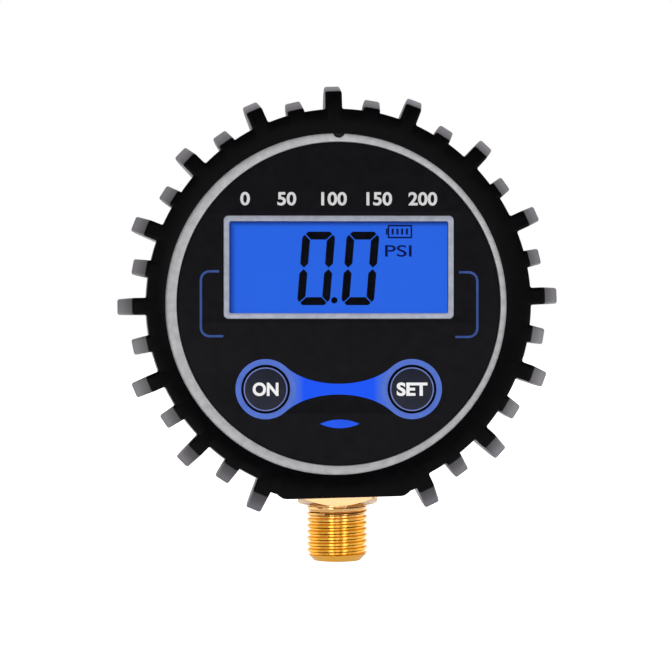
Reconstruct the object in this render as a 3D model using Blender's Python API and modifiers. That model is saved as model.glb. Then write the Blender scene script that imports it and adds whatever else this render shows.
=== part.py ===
"""Digital pressure gauge head: a toothed rubber boot round a battery-powered dial on a brass stem.

Metres, +Z up. The origin lies on the stem's axis at the shoulder under its wrench square, and the dial
faces -Y. Dial pieces are drawn in the dial's own frame: x right, y up and z towards the viewer, with
z = 0 in the plane of the stem's axis. Stem pieces are drawn in the world frame.
"""

import math

import bmesh
import bpy

# Clearances
FIT_GAP = 0.00015
SEAT_GAP = 0.0001

# Roundness
CASE_STEPS = 64
STEM_STEPS = 32
HOLE_STEPS = 16
SCREW_STEPS = 10
CORNER_STEPS = 3
MERGE = 0.000001

# Case
DIAL_HEIGHT = 0.0329
CASE_RADIUS = 0.0292
CASE_WALL = 0.0020
CASE_EDGE = 0.0004
FRONT_DEPTH = 0.0135
FACE_WALL = 0.0016
REAR_DEPTH = 0.0150
REAR_WALL = 0.0020
CASE_INNER = CASE_RADIUS - CASE_WALL
FACE_BACK = FRONT_DEPTH - FACE_WALL
REAR_INNER = REAR_WALL - REAR_DEPTH

# Gasket between the case halves
GASKET_THICKNESS = 0.0004
GASKET_MARGIN = 0.0003
RIM = GASKET_THICKNESS / 2 + SEAT_GAP
POST_END = RIM + SEAT_GAP

# Face overlay and bezel ring
OVERLAY_RADIUS = 0.0257
OVERLAY_THICKNESS = 0.0005
OVERLAY_BACK = FRONT_DEPTH + SEAT_GAP
OVERLAY_FRONT = OVERLAY_BACK + OVERLAY_THICKNESS
BEZEL_INNER = OVERLAY_RADIUS + FIT_GAP
BEZEL_FLAT = 0.00125
BEZEL_CHAMFER = 0.0006
BEZEL_HEIGHT = 0.0009
BEZEL_FLANGE = 0.00035
BEZEL_EDGE = 0.00012
BEZEL_BACK = FRONT_DEPTH + SEAT_GAP
BEZEL_FRONT = BEZEL_BACK + BEZEL_HEIGHT
BEZEL_STEP = BEZEL_BACK + BEZEL_FLANGE
BEZEL_OUTER = CASE_RADIUS - CASE_EDGE
NOTCH_DEPTH = 0.0008
NOTCH_WIDTH = 0.0021
NOTCH_BOTTOM = BEZEL_INNER + NOTCH_DEPTH

# Display
DISPLAY_RISE = 0.00584
VIEW_WIDTH = 0.0349
VIEW_HEIGHT = 0.01466
FRAME_WIDTH = 0.0009
FRAME_CORNER = 0.00065
FRAME_PROUD = 0.00015
WINDOW_COVER = 0.0004
WINDOW_THICKNESS = 0.0010
LCD_BORDER = 0.0018
LCD_THICKNESS = 0.0027
BACKLIGHT_THICKNESS = 0.0030
HOLDER_WALL = 0.0008
HOLDER_HEIGHT = 0.0044
STRIP_WIDTH = 0.0016
STRIP_MARGIN = 0.0010
VIEW_CORNER = 0.0002
FRAME_OUTER_WIDTH = VIEW_WIDTH + 2 * FRAME_WIDTH
FRAME_OUTER_HEIGHT = VIEW_HEIGHT + 2 * FRAME_WIDTH
WINDOW_WIDTH = VIEW_WIDTH + 2 * WINDOW_COVER
WINDOW_HEIGHT = VIEW_HEIGHT + 2 * WINDOW_COVER
WINDOW_FRONT = FRONT_DEPTH - SEAT_GAP / 2
WINDOW_BACK = WINDOW_FRONT - WINDOW_THICKNESS
LCD_WIDTH = VIEW_WIDTH + 2 * LCD_BORDER
LCD_HEIGHT = VIEW_HEIGHT + 2 * LCD_BORDER
LCD_FRONT = FACE_BACK - 2 * SEAT_GAP
LCD_BACK = LCD_FRONT - LCD_THICKNESS
BACKLIGHT_FRONT = LCD_BACK - SEAT_GAP
BACKLIGHT_BACK = BACKLIGHT_FRONT - BACKLIGHT_THICKNESS
STRIP_OFFSET = LCD_HEIGHT / 2 - STRIP_WIDTH / 2 - SEAT_GAP
BACKLIGHT_HEIGHT = 2 * (STRIP_OFFSET - STRIP_WIDTH / 2 - FIT_GAP)

# Circuit board
BOARD_THICKNESS = 0.0016
BOARD_MARGIN = 0.0008
BOARD_FRONT = BACKLIGHT_BACK - SEAT_GAP
BOARD_BACK = BOARD_FRONT - BOARD_THICKNESS
BOARD_RADIUS = CASE_INNER - BOARD_MARGIN
BOARD_SLOT_MARGIN = 0.0008
CHIP_SIDE = 0.010
CHIP_THICKNESS = 0.0012
CHIP_RISE = 0.006

# Buttons and their switches
BUTTON_SPACING = 0.02334
BUTTON_DROP = 0.0136
BUTTON_RADIUS = 0.00358
BUTTON_PROUD = 0.0004
BUTTON_CROWN = 0.00015
BUTTON_EDGE = 0.0002
BUTTON_RING_GAP = 0.00027
BUTTON_FLANGE = 0.0008
BUTTON_FLANGE_THICKNESS = 0.0007
BUTTON_POST_RADIUS = 0.0016
BUTTON_TRAVEL = 0.0005
SWITCH_SIDE = 0.0060
SWITCH_HEIGHT = 0.0034
PLUNGER_RADIUS = 0.00175
PLUNGER_PROUD = 0.0009
PLUNGER_DEPTH = 0.0010
SWITCH_BACK = BOARD_FRONT + SEAT_GAP
SWITCH_FRONT = SWITCH_BACK + SWITCH_HEIGHT
PLUNGER_FRONT = SWITCH_FRONT + PLUNGER_PROUD
PLUNGER_BACK = SWITCH_FRONT - PLUNGER_DEPTH
BUTTON_HOLE = BUTTON_RADIUS + BUTTON_RING_GAP

# Batteries, contacts and springs
BATTERY_RADIUS = 0.00525
BATTERY_LENGTH = 0.0445
BATTERY_NUB_RADIUS = 0.0019
BATTERY_NUB_LENGTH = 0.0010
BATTERY_EDGE = 0.0004
BATTERY_PLAY = 0.0003
CONTACT_THICKNESS = 0.0004
CONTACT_SIDE = 0.0086
CONTACT_TAIL_WIDTH = 0.0030
CONTACT_TAIL_PROUD = 0.0012
SPRING_LENGTH = 0.0032
SPRING_BASE_RADIUS = 0.0038
SPRING_TIP_RADIUS = 0.0022
SPRING_WIRE_RADIUS = 0.00025
SPRING_TURNS = 3
SPRING_STEPS = 10
BAY_WALL = 0.0012
BATTERY_RISE = BATTERY_RADIUS + BATTERY_PLAY / 2
BATTERY_DEPTH = REAR_INNER + BATTERY_PLAY + BATTERY_RADIUS
BAY_LENGTH = BATTERY_LENGTH + SPRING_LENGTH + 2 * CONTACT_THICKNESS + 5 * SEAT_GAP
BAY_HEIGHT = 2 * (BATTERY_RISE + BATTERY_RADIUS + BATTERY_PLAY)
BAY_FLOOR = BATTERY_DEPTH + BATTERY_RADIUS + BATTERY_PLAY
BAY_TOP = BAY_FLOOR + BAY_WALL
CONTACT_FACE = BAY_LENGTH / 2 - SEAT_GAP - CONTACT_THICKNESS
LEAD_RADIUS = 0.00045
LEAD_REACH = 0.0026

# Battery door
DOOR_THICKNESS = 0.0011
DOOR_LEDGE = 0.0012
DOOR_CONTACT_COVER = 0.0017
DOOR_SIDE_COVER = 0.0002
DOOR_CORNER = 0.0030
DOOR_EAR_RADIUS = 0.0030
OPENING_LENGTH = BAY_LENGTH - 2 * DOOR_CONTACT_COVER
OPENING_HEIGHT = BAY_HEIGHT - 2 * DOOR_SIDE_COVER
DOOR_LENGTH = OPENING_LENGTH + 2 * DOOR_LEDGE
DOOR_HEIGHT = OPENING_HEIGHT + 2 * DOOR_LEDGE
DOOR_BACK = -REAR_DEPTH
DOOR_FRONT = DOOR_BACK + DOOR_THICKNESS
DOOR_SCREW_RADIUS = 0.0009
DOOR_SCREW_HEAD_RADIUS = 0.0017
DOOR_SCREW_HEAD_HEIGHT = 0.0008
DOOR_SCREW_LENGTH = 0.0055
DOOR_BOSS_RADIUS = 0.0024
DOOR_BOSS_LENGTH = 0.0066
DOOR_SCREW_RISE = DOOR_HEIGHT / 2 + DOOR_SCREW_HEAD_RADIUS

# Screws that close the case and hold the board
CASE_SCREW_CIRCLE = 0.0244
UPPER_SCREW_ANGLE = 58.0
LOWER_SCREW_ANGLE = -40.0
CASE_SCREW_RADIUS = 0.0010
CASE_SCREW_HEAD_RADIUS = 0.0019
CASE_SCREW_HEAD_HEIGHT = 0.0014
CASE_SCREW_LENGTH = 0.0150
CASE_SCREW_SEAT = -0.0090
FRONT_POST_RADIUS = 0.0025
REAR_POST_RADIUS = 0.0030
BOARD_SCREW_OFFSET = 0.0232
BOARD_SCREW_RISE = 0.0010
BOARD_SCREW_RADIUS = 0.0008
BOARD_SCREW_HEAD_RADIUS = 0.0016
BOARD_SCREW_HEAD_HEIGHT = 0.0011
BOARD_SCREW_LENGTH = 0.0050
BOARD_POST_RADIUS = 0.0018

# Stem, upwards from the thread's end
THREAD_RADIUS = 0.0050
THREAD_LENGTH = 0.0094
THREAD_CHAMFER = 0.0011
NECK_RADIUS = 0.0048
NECK_LENGTH = 0.0010
SQUARE_SIDE = 0.0130
SQUARE_CHAMFER = 0.0010
GROOVE_RADIUS = 0.0050
BORE_RADIUS = 0.0012
UPPER_SQUARE_HEIGHT = 0.0030
CUP_RADIUS = 0.0062
CUP_HEIGHT = 0.0058
POCKET_RADIUS = 0.0050
POCKET_DEPTH = 0.0042
SADDLE_THICKNESS = 0.0030
SADDLE_RIB = 0.0012
SADDLE_RIB_HEIGHT = 0.0032
STEM_GASKET_WIDTH = 0.0012
STEM_GASKET_THICKNESS = 0.0006
CASE_BOTTOM = DIAL_HEIGHT - CASE_RADIUS
SADDLE_TOP = CASE_BOTTOM + SADDLE_THICKNESS
SADDLE_HALF = SQUARE_SIDE / 2 + FIT_GAP + SADDLE_RIB
LOWER_SQUARE_TOP = CASE_BOTTOM - SEAT_GAP
STEM_GASKET_BOTTOM = SADDLE_TOP + SEAT_GAP
UPPER_SQUARE_BOTTOM = STEM_GASKET_BOTTOM + STEM_GASKET_THICKNESS + SEAT_GAP
UPPER_SQUARE_TOP = UPPER_SQUARE_BOTTOM + UPPER_SQUARE_HEIGHT
CUP_TOP = UPPER_SQUARE_TOP + CUP_HEIGHT
POCKET_BOTTOM = CUP_TOP - POCKET_DEPTH

# Pressure sensor
O_RING_WIRE = 0.0007
NUT_HEIGHT = 0.0010
NUT_HOLE_RADIUS = 0.0027
RIBBON_WIDTH = 0.0036
RIBBON_THICKNESS = 0.00025
RIBBON_RISE = 0.0066
RIBBON_STEPS = 10
O_RING_HEIGHT = POCKET_BOTTOM + SEAT_GAP + O_RING_WIRE
SENSOR_BOTTOM = O_RING_HEIGHT + O_RING_WIRE + SEAT_GAP
NUT_BOTTOM = CUP_TOP - NUT_HEIGHT
SENSOR_TOP = NUT_BOTTOM - SEAT_GAP

# Rubber boot
BOOT_LIP = 0.0012
BOOT_FRONT_RADIUS = 0.0306
BOOT_MIDDLE_RADIUS = 0.0315
BOOT_EDGE = 0.0005
LIP_RADIUS = 0.0270
LIP_SHIFT = -0.00044
REAR_LIP_RADIUS = 0.0264
BOOT_TWIST = -1.5
LUG_PITCH = 22.3
TALL_LUGS = 15
LOW_LUGS = 14
LUG_WIDTH = 0.0025
TALL_LUG_FRONT = 0.0330
TALL_LUG_CROWN = 0.0361
LOW_LUG_FRONT = 0.0312
LOW_LUG_CROWN = 0.03424
LUG_SLOPE_LENGTH = 0.0118
SHOE_DROP = 0.0309
SHOE_WIDTH = 0.0214
SHOE_CORNER = 0.0012
SHOE_LENGTH = 0.0250
BOOT_FRONT = BEZEL_STEP + SEAT_GAP + BOOT_LIP
BOOT_REAR = -REAR_DEPTH - SEAT_GAP - BOOT_LIP
BOOT_CAVITY = CASE_RADIUS + FIT_GAP

PARTS = bpy.data.collections.new("digital_pressure_gauge")
CUTTERS = bpy.data.collections.new("cutters")


def clear_scene():
    for obj in list(bpy.data.objects):
        bpy.data.objects.remove(obj)
    bpy.context.scene.collection.children.link(PARTS)
    bpy.context.scene.collection.children.link(CUTTERS)
    CUTTERS.hide_render = True


def make_frames():
    """The dial's frame, whose z points out of the dial, and the stem's frame, whose z points up its axis."""
    dial = bpy.data.objects.new("dial", None)
    PARTS.objects.link(dial)
    stem = bpy.data.objects.new("stem_axis", None)
    stem.parent = dial
    stem.location = (0, -DIAL_HEIGHT, 0)
    stem.rotation_euler = (math.radians(-90), 0, 0)
    PARTS.objects.link(stem)
    return dial, stem


def stand_up(dial):
    """Turns the finished dial upright above the stem, with its face to -Y."""
    dial.location = (0, 0, DIAL_HEIGHT)
    dial.rotation_euler = (math.radians(90), 0, 0)


def make_material(name, colour, roughness, metallic=0.0):
    material = bpy.data.materials.new(name)
    material.use_nodes = True
    shader = material.node_tree.nodes["Principled BSDF"]
    shader.inputs["Base Color"].default_value = (*colour, 1)
    shader.inputs["Roughness"].default_value = roughness
    shader.inputs["Metallic"].default_value = metallic
    material.diffuse_color = (*colour, 1)
    return material


def place(obj, parent, at=(0, 0, 0), turn=(0, 0, 0), material=None):
    """Links a piece with its material, or a helper without one, in its frame. Turns are in degrees."""
    obj.parent = parent
    obj.location = at
    obj.rotation_euler = [math.radians(angle) for angle in turn]
    if material:
        obj.data.materials.append(material)
        PARTS.objects.link(obj)
    else:
        obj.hide_render = True
        obj.display_type = "WIRE"
        CUTTERS.objects.link(obj)
    return obj


def arc(centre, radius, start, end, steps):
    """Points along an arc, both ends included, with angles in degrees from +X."""
    angles = [math.radians(start + (end - start) * step / steps) for step in range(steps + 1)]
    return [(centre[0] + radius * math.cos(a), centre[1] + radius * math.sin(a)) for a in angles]


def circle(radius, steps, centre=(0, 0)):
    return arc(centre, radius, 0, 360, steps)[:-1]


def rounded_rectangle(width, height, corner, centre=(0, 0)):
    outline = []
    for side_x, side_y, start in ((1, 1, 0), (-1, 1, 90), (-1, -1, 180), (1, -1, 270)):
        x = centre[0] + side_x * (width / 2 - corner)
        y = centre[1] + side_y * (height / 2 - corner)
        outline += arc((x, y), corner, start, start + 90, CORNER_STEPS)
    return outline


def slab(name, outlines, back, front, parent, at=(0, 0), turn=(0, 0, 0), material=None):
    """Flat outlines, where an inner one is a hole, as a mesh that fills from back to front along z."""
    curve = bpy.data.curves.new(name, "CURVE")
    curve.dimensions = "2D"
    curve.fill_mode = "BOTH"
    curve.extrude = (front - back) / 2
    for outline in outlines:
        spline = curve.splines.new("POLY")
        spline.points.add(len(outline) - 1)
        spline.use_cyclic_u = True
        for point, (x, y) in zip(spline.points, outline):
            point.co = (round(x, 8), round(y, 8), 0, 1)
    drawn = bpy.data.objects.new(name, curve)
    bpy.context.scene.collection.objects.link(drawn)
    graph = bpy.context.evaluated_depsgraph_get()
    mesh = bpy.data.meshes.new_from_object(drawn.evaluated_get(graph))
    bpy.data.objects.remove(drawn)
    weld(mesh)
    return place(bpy.data.objects.new(name, mesh), parent, (*at, (front + back) / 2), turn, material)


def weld(mesh):
    edit = bmesh.new()
    edit.from_mesh(mesh)
    bmesh.ops.remove_doubles(edit, verts=edit.verts, dist=MERGE)
    edit.to_mesh(mesh)
    edit.free()


def turned(name, profile, parent, closed=False, steps=STEM_STEPS, at=(0, 0, 0), turn=(0, 0, 0), material=None):
    """A profile of (radius, height) points turned round z. Its outer side runs from top to bottom."""
    mesh = bpy.data.meshes.new(name)
    edges = [(i, i + 1) for i in range(len(profile) - 1)]
    if closed:
        edges.append((len(profile) - 1, 0))
    mesh.from_pydata([(radius, 0, height) for radius, height in profile], edges, [])
    obj = place(bpy.data.objects.new(name, mesh), parent, at, turn, material)
    screw = obj.modifiers.new("Turn", "SCREW")
    screw.axis = "Z"
    screw.steps = steps
    screw.render_steps = steps
    screw.use_merge_vertices = True
    screw.merge_threshold = MERGE
    return obj


def rod(name, radius, bottom, top, parent, at=(0, 0), turn=(0, 0, 0), steps=HOLE_STEPS, material=None):
    """A plain cylinder along z."""
    profile = [(0, top), (radius, top), (radius, bottom), (0, bottom)]
    return turned(name, profile, parent, steps=steps, at=(*at, 0), turn=turn, material=material)


def block(name, low, high, parent, material=None):
    """A box between two corners."""
    mesh = bpy.data.meshes.new(name)
    edit = bmesh.new()
    bmesh.ops.create_cube(edit, size=1)
    size = [b - a for a, b in zip(low, high)]
    bmesh.ops.scale(edit, vec=size, verts=edit.verts)
    edit.to_mesh(mesh)
    edit.free()
    middle = [(a + b) / 2 for a, b in zip(low, high)]
    return place(bpy.data.objects.new(name, mesh), parent, middle, material=material)


def tube(name, points, radius, parent, material, at=(0, 0, 0), turn=(0, 0, 0)):
    """A round wire along the points, with closed ends."""
    curve = bpy.data.curves.new(name, "CURVE")
    curve.dimensions = "3D"
    curve.bevel_depth = radius
    curve.bevel_resolution = 1
    curve.use_fill_caps = True
    spline = curve.splines.new("POLY")
    spline.points.add(len(points) - 1)
    for point, place_of in zip(spline.points, points):
        point.co = (*place_of, 1)
    return place(bpy.data.objects.new(name, curve), parent, at, turn, material)


def combine(obj, operation, others):
    """One Boolean with all the others at once, held in a collection of their own."""
    tools = bpy.data.collections.new(f"{obj.name}_{operation.lower()}")
    CUTTERS.children.link(tools)
    for other in others:
        tools.objects.link(other)
    boolean = obj.modifiers.new(tools.name, "BOOLEAN")
    boolean.operation = operation
    boolean.solver = "EXACT"
    boolean.operand_type = "COLLECTION"
    boolean.collection = tools


def join(obj, others):
    combine(obj, "UNION", others)


def cut(obj, others):
    combine(obj, "DIFFERENCE", others)


def gathered(name, others, parent):
    """Helpers that don't touch each other as one mesh, so that a Boolean takes them together."""
    graph = bpy.context.evaluated_depsgraph_get()
    edit = bmesh.new()
    for other in others:
        mesh = bpy.data.meshes.new_from_object(other.evaluated_get(graph))
        mesh.transform(other.matrix_world)
        edit.from_mesh(mesh)
        bpy.data.objects.remove(other)
    mesh = bpy.data.meshes.new(name)
    edit.to_mesh(mesh)
    edit.free()
    return place(bpy.data.objects.new(name, mesh), parent)


def settle_pieces():
    """Applies each piece's modifiers, and shades it smooth between its crisp edges."""
    graph = bpy.context.evaluated_depsgraph_get()
    for obj in PARTS.objects:
        if obj.type != "MESH":
            continue
        mesh = bpy.data.meshes.new_from_object(obj.evaluated_get(graph))
        weld(mesh)
        mesh.shade_smooth()
        mesh.set_sharp_from_angle(angle=math.radians(35))
        obj.modifiers.clear()
        obj.data = mesh


def case_screw_places():
    """The four case screws in the dial's plane: upper left and right, then lower left and right."""
    places = []
    for angle in (UPPER_SCREW_ANGLE, LOWER_SCREW_ANGLE):
        x = CASE_SCREW_CIRCLE * math.cos(math.radians(angle))
        y = CASE_SCREW_CIRCLE * math.sin(math.radians(angle))
        places += [(-x, y), (x, y)]
    return places


def board_screw_places():
    return [(-BOARD_SCREW_OFFSET, BOARD_SCREW_RISE), (BOARD_SCREW_OFFSET, BOARD_SCREW_RISE)]


def button_places():
    return [(-BUTTON_SPACING / 2, -BUTTON_DROP), (BUTTON_SPACING / 2, -BUTTON_DROP)]


def door_screw_places():
    return [(0, DOOR_SCREW_RISE), (0, -DOOR_SCREW_RISE)]


def stem_cutters(axis):
    """The round hole and the square pocket that the case halves close round the stem."""
    hole_radius = GROOVE_RADIUS + FIT_GAP
    hole_top = SADDLE_TOP + SADDLE_THICKNESS
    hole = rod("stem_hole", hole_radius, 0, hole_top, axis, steps=STEM_STEPS)
    half = SQUARE_SIDE / 2 + FIT_GAP
    pocket = block("stem_pocket", (-half, -half, SADDLE_TOP), (half, half, CUP_TOP), axis)
    return hole, pocket


def saddle(name, back, front, dial):
    """The pad and ribs inside one case half that hold the stem's upper square."""
    wall_middle = CASE_RADIUS - CASE_WALL / 4
    bottom = -math.sqrt(wall_middle**2 - SADDLE_HALF**2)
    top = SADDLE_TOP + SADDLE_RIB_HEIGHT - DIAL_HEIGHT
    return block(name, (-SADDLE_HALF, bottom, back), (SADDLE_HALF, top, front), dial)


def make_front_case(dial, stem_holes, material):
    profile = [
        (0, FRONT_DEPTH),
        (CASE_RADIUS - CASE_EDGE, FRONT_DEPTH),
        (CASE_RADIUS, FRONT_DEPTH - CASE_EDGE),
        (CASE_RADIUS, RIM),
        (CASE_INNER, RIM),
        (CASE_INNER, FACE_BACK),
        (0, FACE_BACK),
    ]
    case = turned("front_case", profile, dial, steps=CASE_STEPS, material=material)
    joins = []
    inside_wall = FACE_BACK + FACE_WALL / 2
    for i, at in enumerate(case_screw_places()):
        joins.append(rod(f"front_post_{i + 1}", FRONT_POST_RADIUS, POST_END, inside_wall, dial, at))
    for i, at in enumerate(board_screw_places()):
        joins.append(rod(f"board_post_{i + 1}", BOARD_POST_RADIUS, BOARD_FRONT + SEAT_GAP, inside_wall, dial, at))
    joins.append(saddle("front_saddle", POST_END, SADDLE_HALF, dial))

    nib_width = NOTCH_WIDTH - 2 * FIT_GAP
    nib_bottom = NOTCH_BOTTOM + FIT_GAP
    nib_top = BEZEL_OUTER - FIT_GAP
    nib_outline = rounded_rectangle(nib_width, nib_top - nib_bottom, nib_width / 2 - MERGE)
    nib_height = (nib_bottom + nib_top) / 2
    joins.append(slab("bezel_nib", [nib_outline], inside_wall, BEZEL_STEP, dial, (0, nib_height)))

    cuts = list(stem_holes)
    seat = rounded_rectangle(WINDOW_WIDTH + 2 * FIT_GAP, WINDOW_HEIGHT + 2 * FIT_GAP, VIEW_CORNER + FIT_GAP)
    view = rounded_rectangle(VIEW_WIDTH, VIEW_HEIGHT, VIEW_CORNER)
    past_front = FRONT_DEPTH + FACE_WALL
    past_back = FACE_BACK - FACE_WALL
    cuts.append(slab("window_seat", [seat], WINDOW_BACK - SEAT_GAP, past_front, dial, (0, DISPLAY_RISE)))
    cuts.append(slab("window_view", [view], past_back, past_front, dial, (0, DISPLAY_RISE)))
    for i, at in enumerate(button_places()):
        cuts.append(rod(f"button_hole_{i + 1}", BUTTON_HOLE, past_back, past_front, dial, at, steps=STEM_STEPS))
    pilot_top = CASE_SCREW_SEAT + CASE_SCREW_LENGTH + 2 * CASE_SCREW_RADIUS
    for i, at in enumerate(case_screw_places()):
        cuts.append(rod(f"case_pilot_{i + 1}", CASE_SCREW_RADIUS + FIT_GAP, -RIM, pilot_top, dial, at))
    pilot_top = BOARD_BACK + BOARD_SCREW_LENGTH + BOARD_SCREW_RADIUS
    for i, at in enumerate(board_screw_places()):
        cuts.append(rod(f"board_pilot_{i + 1}", BOARD_SCREW_RADIUS + FIT_GAP, BOARD_BACK, pilot_top, dial, at))
    join(case, joins)
    cut(case, cuts)


def door_outline(grow):
    """The door's panel with an ear for a screw at its top and bottom, grown all round by a gap."""
    half_length = DOOR_LENGTH / 2 + grow
    half_height = DOOR_HEIGHT / 2 + grow
    corner = DOOR_CORNER + grow
    ear = DOOR_EAR_RADIUS + grow
    dip = math.degrees(math.asin((DOOR_SCREW_RISE - half_height) / ear))
    x = half_length - corner
    y = half_height - corner
    outline = arc((x, y), corner, 0, 90, CORNER_STEPS)
    outline += arc((0, DOOR_SCREW_RISE), ear, -dip, 180 + dip, 3 * CORNER_STEPS)
    outline += arc((-x, y), corner, 90, 180, CORNER_STEPS)
    outline += arc((-x, -y), corner, 180, 270, CORNER_STEPS)
    outline += arc((0, -DOOR_SCREW_RISE), ear, 180 - dip, 360 + dip, 3 * CORNER_STEPS)
    outline += arc((x, -y), corner, 270, 360, CORNER_STEPS)
    return outline


def make_rear_case(dial, stem_holes, material):
    profile = [
        (0, REAR_INNER),
        (CASE_INNER, REAR_INNER),
        (CASE_INNER, -RIM),
        (CASE_RADIUS, -RIM),
        (CASE_RADIUS, CASE_EDGE - REAR_DEPTH),
        (CASE_RADIUS - CASE_EDGE, -REAR_DEPTH),
        (0, -REAR_DEPTH),
    ]
    case = turned("rear_case", profile, dial, steps=CASE_STEPS, material=material)
    joins = []
    inside_wall = REAR_INNER - REAR_WALL / 3
    for i, at in enumerate(case_screw_places()):
        joins.append(rod(f"rear_post_{i + 1}", REAR_POST_RADIUS, inside_wall, -POST_END, dial, at))
    for i, at in enumerate(door_screw_places()):
        boss_top = REAR_INNER + DOOR_BOSS_LENGTH
        joins.append(rod(f"door_boss_{i + 1}", DOOR_BOSS_RADIUS, REAR_INNER - REAR_WALL / 4, boss_top, dial, at))
    half_length = BAY_LENGTH / 2 + BAY_WALL
    half_height = BAY_HEIGHT / 2 + BAY_WALL
    bay_low = (-half_length, -half_height, REAR_INNER - REAR_WALL / 5)
    bay_high = (half_length, half_height, BAY_TOP)
    joins.append(block("bay_walls", bay_low, bay_high, dial))
    joins.append(saddle("rear_saddle", -SADDLE_HALF, -POST_END, dial))

    cuts = list(stem_holes)
    half_length = BAY_LENGTH / 2
    half_height = BAY_HEIGHT / 2
    bay_low = (-half_length, -half_height, REAR_INNER)
    bay_high = (half_length, half_height, BAY_FLOOR)
    cuts.append(block("bay_space", bay_low, bay_high, dial))
    opening = rounded_rectangle(OPENING_LENGTH, OPENING_HEIGHT, DOOR_CORNER - DOOR_LEDGE)
    cuts.append(slab("bay_opening", [opening], -REAR_DEPTH - REAR_WALL, REAR_INNER + REAR_WALL / 4, dial))
    recess_front = DOOR_FRONT + SEAT_GAP
    cuts.append(slab("door_recess", [door_outline(FIT_GAP)], -REAR_DEPTH - REAR_WALL, recess_front, dial))
    slot_half = CONTACT_TAIL_WIDTH / 2 + FIT_GAP
    slot_end = -BAY_LENGTH / 2 - BAY_WALL / 3
    slot_start = FIT_GAP + SEAT_GAP - CONTACT_FACE
    for i, y in enumerate((BATTERY_RISE, -BATTERY_RISE)):
        slot_low = (slot_end, y - slot_half, BAY_FLOOR - BAY_WALL)
        slot_high = (slot_start, y + slot_half, BAY_TOP + BAY_WALL)
        cuts.append(block(f"tail_slot_{i + 1}", slot_low, slot_high, dial))
    for i, at in enumerate(case_screw_places()):
        head = CASE_SCREW_HEAD_RADIUS + FIT_GAP
        cuts.append(rod(f"counterbore_{i + 1}", head, -REAR_DEPTH - REAR_WALL, CASE_SCREW_SEAT, dial, at))
        cuts.append(rod(f"case_screw_hole_{i + 1}", CASE_SCREW_RADIUS + FIT_GAP, -REAR_DEPTH, REAR_WALL, dial, at))
    pilot_top = -REAR_DEPTH + DOOR_SCREW_LENGTH + DOOR_SCREW_RADIUS
    for i, at in enumerate(door_screw_places()):
        cuts.append(rod(f"door_pilot_{i + 1}", DOOR_SCREW_RADIUS + FIT_GAP, -REAR_DEPTH, pilot_top, dial, at))
    join(case, joins)
    cut(case, cuts)


def make_case_gasket(dial, material):
    """A flat ring between the case halves, open where the stem passes."""
    inner = CASE_INNER + GASKET_MARGIN
    outer = CASE_RADIUS - GASKET_MARGIN
    opening = math.degrees(math.asin((SADDLE_HALF + FIT_GAP) / inner))
    outline = arc((0, 0), outer, opening - 90, 270 - opening, CASE_STEPS // 2)
    outline += arc((0, 0), inner, 270 - opening, opening - 90, CASE_STEPS // 2)
    slab("case_gasket", [outline], -GASKET_THICKNESS / 2, GASKET_THICKNESS / 2, dial, material=material)


def make_bezel_ring(dial, material):
    flat_end = BEZEL_INNER + BEZEL_FLAT
    profile = [
        (BEZEL_INNER, BEZEL_FRONT - BEZEL_EDGE),
        (BEZEL_INNER + BEZEL_EDGE, BEZEL_FRONT),
        (flat_end, BEZEL_FRONT),
        (flat_end + BEZEL_CHAMFER, BEZEL_STEP),
        (BEZEL_OUTER, BEZEL_STEP),
        (BEZEL_OUTER, BEZEL_BACK),
        (BEZEL_INNER, BEZEL_BACK),
    ]
    ring = turned("bezel_ring", profile, dial, closed=True, steps=CASE_STEPS, material=material)
    length = CASE_RADIUS - NOTCH_BOTTOM
    notch = rounded_rectangle(NOTCH_WIDTH, length + NOTCH_WIDTH, NOTCH_WIDTH / 2 - MERGE)
    middle = NOTCH_BOTTOM + (length + NOTCH_WIDTH) / 2
    cut(ring, [slab("bezel_notch", [notch], FRONT_DEPTH, BEZEL_FRONT + BEZEL_HEIGHT, dial, (0, middle))])


def make_face_overlay(dial, material):
    """The printed membrane, with openings for the display frame and the buttons."""
    frame_width = FRAME_OUTER_WIDTH + 2 * FIT_GAP
    frame_height = FRAME_OUTER_HEIGHT + 2 * FIT_GAP
    frame = rounded_rectangle(frame_width, frame_height, FRAME_CORNER + FIT_GAP, (0, DISPLAY_RISE))
    outlines = [circle(OVERLAY_RADIUS, CASE_STEPS), frame]
    outlines += [circle(BUTTON_HOLE, STEM_STEPS, at) for at in button_places()]
    slab("face_overlay", outlines, OVERLAY_BACK, OVERLAY_FRONT, dial, material=material)


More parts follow.
